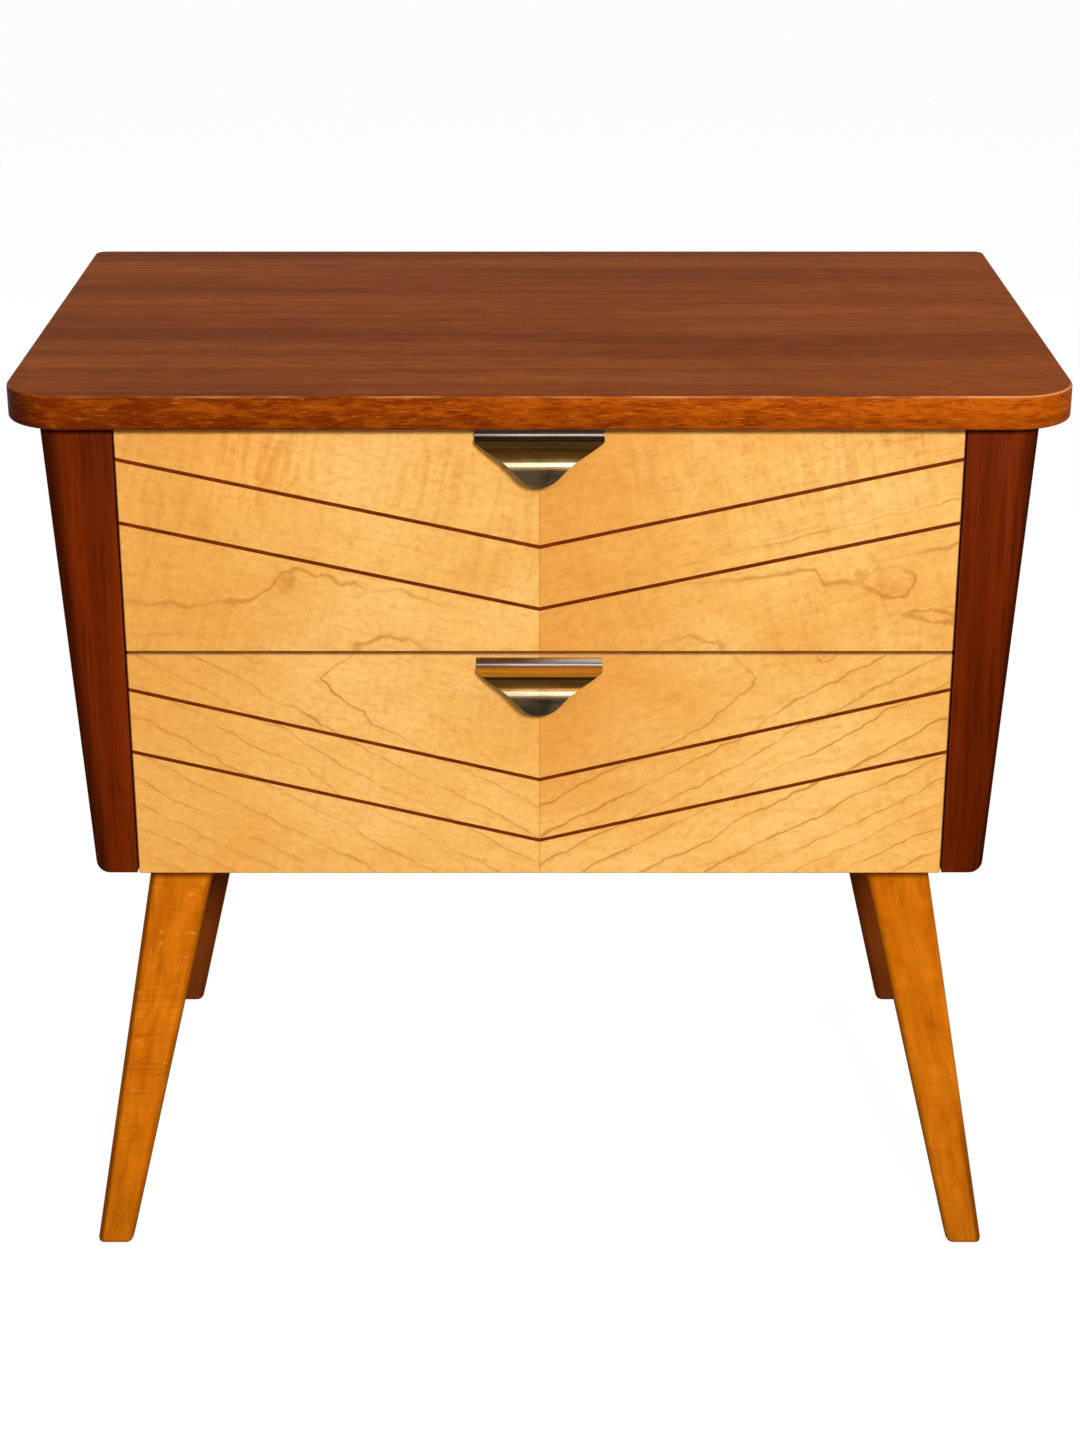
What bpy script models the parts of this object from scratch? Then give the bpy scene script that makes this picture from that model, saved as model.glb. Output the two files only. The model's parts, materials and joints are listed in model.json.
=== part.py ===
"""Two-drawer nightstand: rounded top, tapered sides, chevron-inlaid fronts and splayed legs.

Metres, +Z up, front towards -Y. The origin is on the floor under the middle of the top.
"""
import math

import bmesh
import bpy
from mathutils import Vector

# Whole cabinet
TOP_WIDTH = 0.608
TOP_DEPTH = 0.378
TOP_THICKNESS = 0.020
CASE_HEIGHT = 0.282
FLOOR_CLEARANCE = 0.2615

# Clearances
FIT_GAP = 0.0003
OVERCUT = 0.004
INLAY_GAP = 0.00015
FRONT_TOP_GAP = 0.0012
FRONT_BETWEEN_GAP = 0.0015
FRONT_END_GAP = 0.001
BOX_LOWER_CLEARANCE = 0.002
BOX_UPPER_CLEARANCE = 0.004
BOX_REAR_CLEARANCE = 0.014

# Top panel
FRONT_CORNER_RADIUS = 0.036
REAR_CORNER_RADIUS = 0.010
TOP_ARRIS = 0.002
FRONT_OVERHANG = 0.018
SIDE_OVERHANG = 0.020
REAR_OVERHANG = 0.013

# Side panels, thick at the top and tapering on their outer face
SIDE_TOP_THICKNESS = 0.0405
SIDE_BOTTOM_THICKNESS = 0.024
SIDE_LOWER_RADIUS = 0.008
SIDE_ARRIS = 0.0016

# Boards of the case
BOARD_ARRIS = 0.0006
SHEET_ARRIS = 0.0003
HOUSING_DEPTH = 0.008
BOTTOM_THICKNESS = 0.015
BOTTOM_RECESS = 0.006
BACK_THICKNESS = 0.004
BACK_RECESS = 0.001
TOP_RAIL_DEPTH = 0.055
TOP_RAIL_THICKNESS = 0.018
DIVIDER_DEPTH = 0.045
DIVIDER_THICKNESS = 0.016

# Runners
RUNNER_HEIGHT = 0.014
RUNNER_HOUSING = 0.003
RUNNER_ENGAGEMENT = 0.005
RUNNER_SETBACK = 0.024
RUNNER_END_GAP = 0.006

# Legs and the battens that carry them
LEG_TOP_WIDTH = 0.039
LEG_TOP_DEPTH = 0.039
LEG_FOOT_WIDTH = 0.022
LEG_FOOT_DEPTH = 0.022
LEG_SIDE_SPLAY = 0.0518
LEG_FRONT_SPLAY = 0.0465
LEG_SETBACK = 0.036
REAR_LEG_SETBACK = 0.032
LEG_INSET = 0.0035
REAR_LEG_INSET = 0.0072
LEG_EDGE_RADIUS = 0.0045
LEG_FOOT_RADIUS = 0.0025
TENON_RADIUS = 0.010
TENON_LENGTH = 0.009
BEARER_THICKNESS = 0.014
BEARER_MARGIN = 0.005

# Drawer boxes
UPPER_FRONT_HEIGHT = 0.138
FRONT_THICKNESS = 0.019
FRONT_DROP = 0.0005
FRONT_ARRIS = 0.0006
BOX_SIDE_THICKNESS = 0.013
BOX_BACK_THICKNESS = 0.012
BOX_BACK_HOUSING = 0.004
BOX_BACK_SETBACK = 0.010
BOX_BACK_DROP = 0.004
BOX_BOTTOM_THICKNESS = 0.005
BOX_BOTTOM_GROOVE = 0.005
BOX_BOTTOM_LIFT = 0.007
TAIL_COUNT = 4
TAIL_LENGTH = 0.012
TAIL_SLOPE = 1 / 6
PIN_WIDTH = 0.009

# Chevron strings: the lower point above the front's lower edge, the step up to the upper one, and the
# distance from the outer ends of the upper chevron to the front's top edge
INLAY_WIDTH = 0.002
INLAY_DEPTH = 0.0012
INLAY_END_INSET = 0.0003
UPPER_CHEVRON_POINT = 0.0265
UPPER_CHEVRON_STEP = 0.038
UPPER_CHEVRON_MARGIN = 0.0208
LOWER_CHEVRON_POINT = 0.022
LOWER_CHEVRON_STEP = 0.0397
LOWER_CHEVRON_MARGIN = 0.0223

# Cast pulls: a flange and a bead on top, then a shell with a roof that turns into a full, rounded face and
# ends in a blunt point; the angles are those of the shell's outward direction above the level
PULL_WIDTH = 0.074
PULL_HEIGHT = 0.0308
PULL_DROP = 0.002
PULL_SIDE_HEIGHT = 0.007
PULL_WAIST_WIDTH = 0.038
PULL_WAIST_LEVEL = 0.0172
PULL_WAIST_RADIUS = 0.040
PULL_TIP_RADIUS = 0.014
PULL_CORNER_RADIUS = 0.0015
PULL_FLANGE_THICKNESS = 0.0018
PULL_FLANGE_HEIGHT = 0.0025
PULL_BEAD_RADIUS = 0.0013
PULL_ROOF_RADIUS = 0.016
PULL_ROOF_START = math.radians(78)
PULL_ROOF_END = math.radians(56)
PULL_FACE_RADIUS = 0.021
PULL_FACE_END = math.radians(-20)
PULL_WALL = 0.0016
PULL_BOSS_RADIUS = 0.0035
PULL_SCREW_SPACING = 0.038
PULL_SCREW_LEVEL = 0.0125

# Screws
TOP_SCREW_SPACING = 0.320
TOP_SCREW_LENGTH = 0.029
TOP_SCREW_RADIUS = 0.0021
TOP_SCREW_HEAD_RADIUS = 0.0042
TOP_SCREW_RIM = 0.0004
TOP_SCREW_POINT = 0.006
TOP_SCREW_SINK = 0.0006
PULL_SCREW_RADIUS = 0.0018
PULL_SCREW_BITE = 0.004
PULL_SCREW_HEAD_RADIUS = 0.0036
PULL_SCREW_HEAD_HEIGHT = 0.0022
PULL_SCREW_SINK = 0.0006

# Planes and half widths that follow from the sizes above
CASE_FRONT = FRONT_OVERHANG - TOP_DEPTH / 2
CASE_BACK = TOP_DEPTH / 2 - REAR_OVERHANG
CASE_TOP = FLOOR_CLEARANCE + CASE_HEIGHT
SIDE_TOP_EDGE = CASE_TOP - FIT_GAP
INNER_HALF = TOP_WIDTH / 2 - SIDE_OVERHANG - SIDE_TOP_THICKNESS
SHOULDER = CASE_FRONT + FRONT_THICKNESS
RAIL_FRONT = SHOULDER + FIT_GAP
BACK_FRONT = CASE_BACK - BACK_RECESS - BACK_THICKNESS
BOTTOM_UNDERSIDE = FLOOR_CLEARANCE + BOTTOM_RECESS
BOTTOM_UPPER = BOTTOM_UNDERSIDE + BOTTOM_THICKNESS
TOP_RAIL_UNDERSIDE = SIDE_TOP_EDGE - TOP_RAIL_THICKNESS
HOUSED_HALF = INNER_HALF + HOUSING_DEPTH - FIT_GAP

FRONT_HALF = INNER_HALF - FRONT_END_GAP
UPPER_FRONT_TOP = CASE_TOP - FRONT_TOP_GAP
UPPER_FRONT_BOTTOM = UPPER_FRONT_TOP - UPPER_FRONT_HEIGHT
LOWER_FRONT_TOP = UPPER_FRONT_BOTTOM - FRONT_BETWEEN_GAP
LOWER_FRONT_BOTTOM = FLOOR_CLEARANCE - FRONT_DROP
DIVIDER_UNDERSIDE = (UPPER_FRONT_BOTTOM + LOWER_FRONT_TOP - DIVIDER_THICKNESS) / 2
DIVIDER_UPPER = DIVIDER_UNDERSIDE + DIVIDER_THICKNESS
BOX_REAR = BACK_FRONT - BOX_REAR_CLEARANCE
BOX_INNER_HALF = FRONT_HALF - BOX_SIDE_THICKNESS

BEARER_UPPER = BOTTOM_UNDERSIDE - FIT_GAP
LEG_LENGTH = BEARER_UPPER - BEARER_THICKNESS - FIT_GAP
LEG_TOP_X = INNER_HALF - LEG_INSET - LEG_TOP_WIDTH / 2
LEG_TOP_FRONT_Y = CASE_FRONT + LEG_SETBACK + LEG_TOP_DEPTH / 2
LEG_TOP_REAR_Y = CASE_BACK - REAR_LEG_SETBACK - LEG_TOP_DEPTH / 2

# Smoothness of round stretches, and the distance within which points of a drawing are one point
CORNER_STEPS = 8
ROOF_STEPS = 4
FACE_STEPS = 12
TURNED_STEPS = 20
ARRIS_STEPS = 2
LEG_EDGE_STEPS = 4
SMOOTH_ANGLE = math.radians(35)
MERGE_DISTANCE = 0.00001

# An outline drawn in the front view, or in the side view, is stood up by one of these turns
FRONT_VIEW = (math.pi / 2, 0.0, 0.0)
SIDE_VIEW = (math.pi / 2, 0.0, math.pi / 2)


def clear_scene():
    for item in list(bpy.data.objects):
        bpy.data.objects.remove(item, do_unlink=True)


def linear(level):
    return level / 12.92 if level <= 0.04045 else ((level + 0.055) / 1.055) ** 2.4


def make_finish(name, red, green, blue, roughness, metallic=0.0):
    finish = bpy.data.materials.new(name)
    finish.use_nodes = True
    shader = finish.node_tree.nodes["Principled BSDF"]
    colour = [linear(level / 255) for level in (red, green, blue)]
    shader.inputs["Base Color"].default_value = (*colour, 1.0)
    shader.inputs["Roughness"].default_value = roughness
    shader.inputs["Metallic"].default_value = metallic
    return finish


def make_collection(name):
    collection = bpy.data.collections.new(name)
    bpy.context.scene.collection.children.link(collection)
    return collection


def make_group(name, at):
    group = bpy.data.objects.new(name, None)
    group.location = at
    PARTS.objects.link(group)
    return group


def add_piece(name, mesh, finish, group, at, turn=(0.0, 0.0, 0.0)):
    """A sub-part of the cabinet, placed at a point of the cabinet's own frame."""
    piece = bpy.data.objects.new(name, mesh)
    mesh.materials.append(finish)
    PARTS.objects.link(piece)
    piece.parent = group
    piece.location = Vector(at) - group.location
    piece.rotation_euler = turn
    return piece


def add_cutter(name, mesh, at=(0.0, 0.0, 0.0), turn=(0.0, 0.0, 0.0)):
    cutter = bpy.data.objects.new(name, mesh)
    CUTTERS.objects.link(cutter)
    cutter.location = at
    cutter.rotation_euler = turn
    cutter.hide_render = True
    cutter.display_type = "WIRE"
    return cutter


def combine(piece, tool, operation="DIFFERENCE"):
    step = piece.modifiers.new(tool.name, "BOOLEAN")
    step.operation = operation
    step.object = tool


def ease_edges(piece, width, segments=1):
    step = piece.modifiers.new("eased_edges", "BEVEL")
    step.width = width
    step.segments = segments
    step.limit_method = "ANGLE"
    step.angle_limit = SMOOTH_ANGLE


def finish_mesh(name, shape):
    """Turn a bmesh into a mesh with smooth round stretches and crisp corners."""
    mesh = bpy.data.meshes.new(name)
    shape.to_mesh(mesh)
    shape.free()
    mesh.shade_smooth()
    mesh.set_sharp_from_angle(angle=SMOOTH_ANGLE)
    return mesh


def box_mesh(name, size):
    shape = bmesh.new()
    bmesh.ops.create_cube(shape, size=1.0)
    bmesh.ops.scale(shape, vec=size, verts=shape.verts)
    return finish_mesh(name, shape)


def rod_mesh(name, radius, length):
    shape = bmesh.new()
    bmesh.ops.create_cone(shape, cap_ends=True, segments=TURNED_STEPS, radius1=radius, radius2=radius,
                          depth=length)
    return finish_mesh(name, shape)


def plate_mesh(name, outlines, thickness):
    """Flat outlines, each a closed list of points, given a thickness centred on their plane."""
    curve = bpy.data.curves.new(name, "CURVE")
    curve.dimensions = "2D"
    curve.fill_mode = "BOTH"
    curve.extrude = thickness / 2
    for outline in outlines:
        spline = curve.splines.new("POLY")
        spline.points.add(len(outline) - 1)
        spline.use_cyclic_u = True
        for point, (x, y) in zip(spline.points, outline):
            point.co = (x, y, 0.0, 1.0)
    drawing = bpy.data.objects.new(name, curve)
    CUTTERS.objects.link(drawing)
    evaluated = drawing.evaluated_get(bpy.context.evaluated_depsgraph_get())
    flat = bpy.data.meshes.new_from_object(evaluated)
    shape = bmesh.new()
    shape.from_mesh(flat)
    bmesh.ops.remove_doubles(shape, verts=shape.verts, dist=MERGE_DISTANCE)
    bmesh.ops.recalc_face_normals(shape, faces=shape.faces)
    bpy.data.objects.remove(drawing, do_unlink=True)
    bpy.data.curves.remove(curve)
    bpy.data.meshes.remove(flat)
    return finish_mesh(name, shape)


def turned_mesh(name, profile):
    """Half section, from the axis at the top round the outside to the axis at the bottom."""
    mesh = bpy.data.meshes.new(name)
    points = [(radius, 0.0, height) for radius, height in profile]
    edges = [(index, index + 1) for index in range(len(profile) - 1)]
    mesh.from_pydata(points, edges, [])
    return mesh


def turn_profile(piece):
    step = piece.modifiers.new("turned", "SCREW")
    step.axis = "Z"
    step.angle = math.tau
    step.steps = TURNED_STEPS
    step.render_steps = TURNED_STEPS
    step.use_merge_vertices = True
    step.merge_threshold = MERGE_DISTANCE
    step.use_smooth_shade = False


def arc(centre, radius, start, end, steps):
    angles = [start + (end - start) * index / steps for index in range(steps + 1)]
    return [(centre[0] + radius * math.cos(a), centre[1] + radius * math.sin(a)) for a in angles]


def rounded(corners):
    """Closed outline in which each (x, y, radius) corner with a radius becomes an arc."""
    outline = []
    for index, (x, y, radius) in enumerate(corners):
        here = Vector((x, y))
        if radius <= 0.0:
            outline.append((x, y))
            continue
        before = (Vector(corners[index - 1][:2]) - here).normalized()
        after = (Vector(corners[(index + 1) % len(corners)][:2]) - here).normalized()
        half = before.angle(after) / 2
        centre = here + (before + after).normalized() * (radius / math.sin(half))
        first = here + before * (radius / math.tan(half)) - centre
        last = here + after * (radius / math.tan(half)) - centre
        start = math.atan2(first.y, first.x)
        sweep = math.remainder(math.atan2(last.y, last.x) - start, math.tau)
        outline.extend(arc(centre, radius, start, start + sweep, CORNER_STEPS))
    return outline


def board(name, low, high, finish, group, arris=BOARD_ARRIS):
    """A board between two opposite corners, with lightly eased edges."""
    low = Vector(low)
    high = Vector(high)
    piece = add_piece(name, box_mesh(name, high - low), finish, group, (low + high) / 2)
    ease_edges(piece, arris)
    piece["low"] = low
    piece["high"] = high
    return piece


def box_cutter(name, low, high):
    low = Vector(low)
    high = Vector(high)
    return add_cutter(name, box_mesh(name, high - low), (low + high) / 2)


def house(host, guest, past=(0, 0, 0)):
    """Cut the pocket that a board enters, with the fit gap all round it.

    past runs the pocket on beyond the board's high corner, so that it opens at the host's edge.
    """
    grow = Vector((FIT_GAP, FIT_GAP, FIT_GAP))
    low = Vector(guest["low"]) - grow
    high = Vector(guest["high"]) + grow + Vector(past)
    combine(host, box_cutter(f"{host.name}_for_{guest.name}", low, high))


def make_top_panel(group):
    half = TOP_WIDTH / 2
    front = -TOP_DEPTH / 2
    rear = TOP_DEPTH / 2
    outline = rounded([
        (-half, front, FRONT_CORNER_RADIUS),
        (half, front, FRONT_CORNER_RADIUS),
        (half, rear, REAR_CORNER_RADIUS),
        (-half, rear, REAR_CORNER_RADIUS),
    ])
    mesh = plate_mesh("top_panel", [outline], TOP_THICKNESS)
    piece = add_piece("top_panel", mesh, TOP_STAIN, group, (0, 0, CASE_TOP + TOP_THICKNESS / 2))
    ease_edges(piece, TOP_ARRIS, ARRIS_STEPS)
    return piece


def make_side_panel(name, hand, group):
    """Slab with a plumb inner face and an outer face that leans in towards the floor."""
    inner = hand * INNER_HALF
    upper = hand * (INNER_HALF + SIDE_TOP_THICKNESS)
    lower = hand * (INNER_HALF + SIDE_BOTTOM_THICKNESS)
    outline = rounded([
        (inner, SIDE_TOP_EDGE, 0.0),
        (inner, FLOOR_CLEARANCE, 0.0),
        (lower, FLOOR_CLEARANCE, SIDE_LOWER_RADIUS),
        (upper, SIDE_TOP_EDGE, 0.0),
    ])
    mesh = plate_mesh(name, [outline], CASE_BACK - CASE_FRONT)
    middle = (CASE_FRONT + CASE_BACK) / 2
    piece = add_piece(name, mesh, SIDE_STAIN, group, (0, middle, 0), FRONT_VIEW)
    ease_edges(piece, SIDE_ARRIS, ARRIS_STEPS)
    return piece


def make_runner(name, hand, level, group):
    inner = INNER_HALF - FRONT_END_GAP - RUNNER_ENGAGEMENT
    outer = INNER_HALF + RUNNER_HOUSING - FIT_GAP
    across = sorted((hand * inner, hand * outer))
    low = (across[0], SHOULDER + RUNNER_SETBACK, level - RUNNER_HEIGHT / 2)
    high = (across[1], BACK_FRONT - RUNNER_END_GAP, level + RUNNER_HEIGHT / 2)
    return board(name, low, high, BEECH, group)


def leg_mesh(name, hand, end):
    """Square leg that tapers to its foot and leans out sideways and to its own end of the case."""
    shape = bmesh.new()
    bmesh.ops.create_cube(shape, size=2.0)
    for vert in shape.verts:
        corner = vert.co.copy()
        if corner.z > 0:
            vert.co = (corner.x * LEG_TOP_WIDTH / 2, corner.y * LEG_TOP_DEPTH / 2, 0.0)
        else:
            across = hand * LEG_SIDE_SPLAY + corner.x * LEG_FOOT_WIDTH / 2
            along = end * LEG_FRONT_SPLAY + corner.y * LEG_FOOT_DEPTH / 2
            vert.co = (across, along, -LEG_LENGTH)
    long_edges = [edge for edge in shape.edges if edge.verts[0].co.z != edge.verts[1].co.z]
    bmesh.ops.bevel(shape, geom=long_edges, offset=LEG_EDGE_RADIUS, segments=LEG_EDGE_STEPS, profile=0.5,
                    affect="EDGES")
    sole = min(shape.faces, key=lambda face: face.calc_center_median().z)
    bmesh.ops.bevel(shape, geom=list(sole.edges), offset=LEG_FOOT_RADIUS, segments=ARRIS_STEPS, profile=0.5,
                    affect="EDGES")
    return finish_mesh(name, shape)


def leg_top(hand, end):
    inset = REAR_LEG_INSET if end > 0 else 0.0
    along = LEG_TOP_REAR_Y if end > 0 else LEG_TOP_FRONT_Y
    return Vector((hand * (LEG_TOP_X - inset), along, LEG_LENGTH))


def make_leg(name, hand, end, group):
    """Leg with a plumb round tenon that stands up into its bearer."""
    top = leg_top(hand, end)
    leg = add_piece(name, leg_mesh(name, hand, end), LEG_WOOD, group, top)
    length = TENON_LENGTH + FIT_GAP + OVERCUT
    middle = top + Vector((0, 0, length / 2 - OVERCUT))
    tenon = add_cutter(f"{name}_tenon", rod_mesh(f"{name}_tenon", TENON_RADIUS, length), middle)
    combine(leg, tenon, "UNION")


def make_bearer(name, hand, group):
    """Batten under the bottom, from the front leg to the rear one, with a mortise for each tenon."""
    inner = LEG_TOP_X - REAR_LEG_INSET - LEG_TOP_WIDTH / 2 - BEARER_MARGIN
    outer = LEG_TOP_X + LEG_TOP_WIDTH / 2
    across = sorted((hand * inner, hand * outer))
    front = LEG_TOP_FRONT_Y - LEG_TOP_DEPTH / 2 - BEARER_MARGIN
    rear = LEG_TOP_REAR_Y + LEG_TOP_DEPTH / 2 + BEARER_MARGIN
    underside = BEARER_UPPER - BEARER_THICKNESS
    bearer = board(name, (across[0], front, underside), (across[1], rear, BEARER_UPPER), BEECH, group)
    depth = TENON_LENGTH + FIT_GAP + OVERCUT
    for end, word in ((-1, "front"), (1, "rear")):
        mortise = rod_mesh(f"{name}_{word}_mortise", TENON_RADIUS + FIT_GAP, depth)
        middle = leg_top(hand, end)
        middle.z = underside + depth / 2 - OVERCUT
        combine(bearer, add_cutter(f"{name}_{word}_mortise", mortise, middle))


def top_screw_profile(gap, mouth):
    """Countersunk wood screw, point up, with its head face at the origin."""
    head = TOP_SCREW_HEAD_RADIUS + gap
    shank = TOP_SCREW_RADIUS + gap
    rim = TOP_SCREW_RIM + gap
    return [
        (0.0, TOP_SCREW_LENGTH + gap),
        (shank, TOP_SCREW_LENGTH - TOP_SCREW_POINT + gap),
        (shank, rim + head - shank),
        (head, rim),
        (head, -mouth),
        (0.0, -mouth),
    ]


def make_top_screws(top, rails, group):
    hole_profile = top_screw_profile(FIT_GAP, TOP_SCREW_SINK + OVERCUT)
    for rail, word in zip(rails, ("front", "rear")):
        along = (rail["low"][1] + rail["high"][1]) / 2
        for hand, side in ((-1, "left"), (1, "right")):
            name = f"top_screw_{word}_{side}"
            at = Vector((hand * TOP_SCREW_SPACING / 2, along, TOP_RAIL_UNDERSIDE + TOP_SCREW_SINK))
            turn_profile(add_piece(name, turned_mesh(name, top_screw_profile(0.0, 0.0)), STEEL, group, at))
            hole = add_cutter(f"{name}_hole", turned_mesh(f"{name}_hole", hole_profile), at)
            turn_profile(hole)
            combine(rail, hole)
            combine(top, hole)


def tail_outlines(bottom, top, gap, root):
    """Dovetails of a drawer side in the side view; root is where their narrow ends start."""
    pitch = (top - bottom) / TAIL_COUNT
    tip = SHOULDER - TAIL_LENGTH - gap
    outlines = []
    for index in range(TAIL_COUNT):
        level = bottom + pitch * (index + 0.5)
        narrow = (pitch - PIN_WIDTH) / 2 + gap - TAIL_SLOPE * (root - SHOULDER)
        wide = (pitch - PIN_WIDTH) / 2 + gap + TAIL_SLOPE * (SHOULDER - tip)
        lower = [(root, level - narrow), (tip, level - wide)]
        upper = [(tip, level + wide), (root, level + narrow)]
        outlines.append(lower + upper)
    return outlines


def make_box_side(name, hand, bottom, top, group):
    """Drawer side with its dovetail tails, drawn as one outline."""
    outline = [(BOX_REAR, top), (BOX_REAR, bottom), (SHOULDER + FIT_GAP, bottom)]
    for tail in tail_outlines(bottom, top, 0.0, SHOULDER + FIT_GAP):
        outline.extend(tail)
    outline.append((SHOULDER + FIT_GAP, top))
    mesh = plate_mesh(name, [outline], BOX_SIDE_THICKNESS)
    at = (hand * (FRONT_HALF - BOX_SIDE_THICKNESS / 2), 0, 0)
    return add_piece(name, mesh, POPLAR, group, at, SIDE_VIEW)


def cut_sockets(front, hand, side, bottom, top):
    """Half-blind sockets, open to the end and the back of the front."""
    name = f"{front.name}_{side}_sockets"
    depth = BOX_SIDE_THICKNESS + FIT_GAP + OVERCUT
    sockets = plate_mesh(name, tail_outlines(bottom, top, FIT_GAP, SHOULDER + OVERCUT), depth)
    middle = hand * (FRONT_HALF + OVERCUT - depth / 2)
    combine(front, add_cutter(name, sockets, (middle, 0, 0), SIDE_VIEW))


def chevron_line(point, rise, across):
    """Height of a chevron's middle line at a distance across the front."""
    return point + rise * abs(across) / FRONT_HALF


def string_half_height(rise):
    """Half the upright width of a string that slopes up to the ends of the front."""
    return INLAY_WIDTH / 2 * math.hypot(rise, FRONT_HALF) / FRONT_HALF


def cut_chevrons(front, points, rise):
    """Two V-shaped grooves across the face."""
    reach = FRONT_HALF + OVERCUT
    half = string_half_height(rise) + INLAY_GAP
    stations = (-reach, 0.0, reach)
    outlines = []
    for point in points:
        upper = [(x, chevron_line(point, rise, x) + half) for x in stations]
        lower = [(x, chevron_line(point, rise, x) - half) for x in reversed(stations)]
        outlines.append(upper + lower)
    depth = OVERCUT + INLAY_DEPTH + INLAY_GAP
    name = f"{front.name}_grooves"
    grooves = plate_mesh(name, outlines, depth)
    combine(front, add_cutter(name, grooves, (0, CASE_FRONT - OVERCUT + depth / 2, 0), FRONT_VIEW))


def make_strings(label, points, rise, group):
    """Each chevron is two straight strings that meet in a mitre at the middle of the front."""
    half = string_half_height(rise)
    for point, row in zip(points, ("upper", "lower")):
        for hand, side in ((-1, "left"), (1, "right")):
            start = hand * INLAY_GAP / 2
            end = hand * (FRONT_HALF - INLAY_END_INSET)
            near = chevron_line(point, rise, start)
            far = chevron_line(point, rise, end)
            outline = [(start, near + half), (start, near - half), (end, far - half), (end, far + half)]
            name = f"{label}_{row}_string_{side}"
            mesh = plate_mesh(name, [outline], INLAY_DEPTH)
            add_piece(name, mesh, ROSEWOOD, group, (0, CASE_FRONT + INLAY_DEPTH / 2, 0), FRONT_VIEW)


def heading(angle):
    return Vector((math.cos(angle), math.sin(angle)))


def shell_line(wall):
    """Section of the pull's shell, a wall's thickness inside its outer face, run on past the point.

    Each point is (distance out from the drawer face, height below the pull's top).
    """
    start = Vector((PULL_FLANGE_THICKNESS, -PULL_FLANGE_HEIGHT - 2 * PULL_BEAD_RADIUS))
    roof_centre = start - PULL_ROOF_RADIUS * heading(PULL_ROOF_START)
    face_centre = roof_centre + (PULL_ROOF_RADIUS - PULL_FACE_RADIUS) * heading(PULL_ROOF_END)
    roof = arc(roof_centre, PULL_ROOF_RADIUS - wall, PULL_ROOF_START, PULL_ROOF_END, ROOF_STEPS)
    face = arc(face_centre, PULL_FACE_RADIUS - wall, PULL_ROOF_END, PULL_FACE_END, FACE_STEPS)
    out, level = face[-1]
    end = min(level, -PULL_HEIGHT) - OVERCUT
    return roof + face[1:] + [(out + (level - end) * math.tan(PULL_FACE_END), end)]


def pull_section():
    """Closed outer section: flange, bead and shell, filled back to the drawer face."""
    bead_centre = (PULL_FLANGE_THICKNESS, -PULL_FLANGE_HEIGHT - PULL_BEAD_RADIUS)
    bead = arc(bead_centre, PULL_BEAD_RADIUS, math.pi / 2, -math.pi / 2, CORNER_STEPS)
    shell = shell_line(0.0)
    return [(0.0, 0.0), (PULL_FLANGE_THICKNESS, 0.0)] + bead + shell[1:] + [(0.0, shell[-1][1])]


def pull_hollow_section():
    """Section of the hollow behind the shell, run out past the drawer face and below the point."""
    shell = shell_line(PULL_WALL)
    floor = shell[-1][1] - OVERCUT
    return [(-OVERCUT, shell[0][1])] + shell + [(shell[-1][0], floor), (-OVERCUT, floor)]


def pull_front_outline(top):
    """Front view: short upright sides, then edges that bend at a waist and run into the blunt point."""
    half = PULL_WIDTH / 2
    waist = PULL_WAIST_WIDTH / 2
    centre = PULL_TIP_RADIUS - PULL_HEIGHT
    rise = -PULL_WAIST_LEVEL - centre
    touch = math.atan2(rise, waist) - math.acos(PULL_TIP_RADIUS / math.hypot(waist, rise))
    apex = centre + PULL_TIP_RADIUS / math.sin(touch)
    return rounded([
        (-half, top + OVERCUT, 0.0),
        (-half, top - PULL_SIDE_HEIGHT, PULL_CORNER_RADIUS),
        (-waist, top - PULL_WAIST_LEVEL, PULL_WAIST_RADIUS),
        (0.0, top + apex, PULL_TIP_RADIUS),
        (waist, top - PULL_WAIST_LEVEL, PULL_WAIST_RADIUS),
        (half, top - PULL_SIDE_HEIGHT, PULL_CORNER_RADIUS),
        (half, top + OVERCUT, 0.0),
    ])


def make_pull(label, top, group):
    """Cast shell pull with two bosses behind it for the screws."""
    name = f"{label}_pull"
    seat = CASE_FRONT - FIT_GAP
    length = PULL_WIDTH + 2 * OVERCUT
    section = pull_section()
    reach = max(out for out, level in section) + OVERCUT
    body = [(seat - out, top + level) for out, level in section]
    pull = add_piece(name, plate_mesh(name, [body], length), BRASS, group, (0, 0, 0), SIDE_VIEW)
    hollow = [(seat - out, top + level) for out, level in pull_hollow_section()]
    hollow_mesh = plate_mesh(f"{name}_hollow", [hollow], length + 2 * OVERCUT)
    cavity = add_cutter(f"{name}_hollow", hollow_mesh, turn=SIDE_VIEW)
    for hand, side in ((-1, "left"), (1, "right")):
        at = (hand * PULL_SCREW_SPACING / 2, seat, top - PULL_SCREW_LEVEL)
        boss = rod_mesh(f"{name}_{side}_boss", PULL_BOSS_RADIUS, 2 * reach)
        combine(cavity, add_cutter(f"{name}_{side}_boss", boss, at, FRONT_VIEW))
    combine(pull, cavity)
    trim = plate_mesh(f"{name}_trim", [pull_front_outline(top)], 2 * reach)
    combine(pull, add_cutter(f"{name}_trim", trim, (0, seat, 0), FRONT_VIEW), "INTERSECT")
    return pull


def pull_screw_reach():
    """Length of the shank, from under the sunk head to its end inside the pull's boss."""
    return FRONT_THICKNESS - PULL_SCREW_SINK - PULL_SCREW_HEAD_HEIGHT + FIT_GAP + PULL_SCREW_BITE


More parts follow.
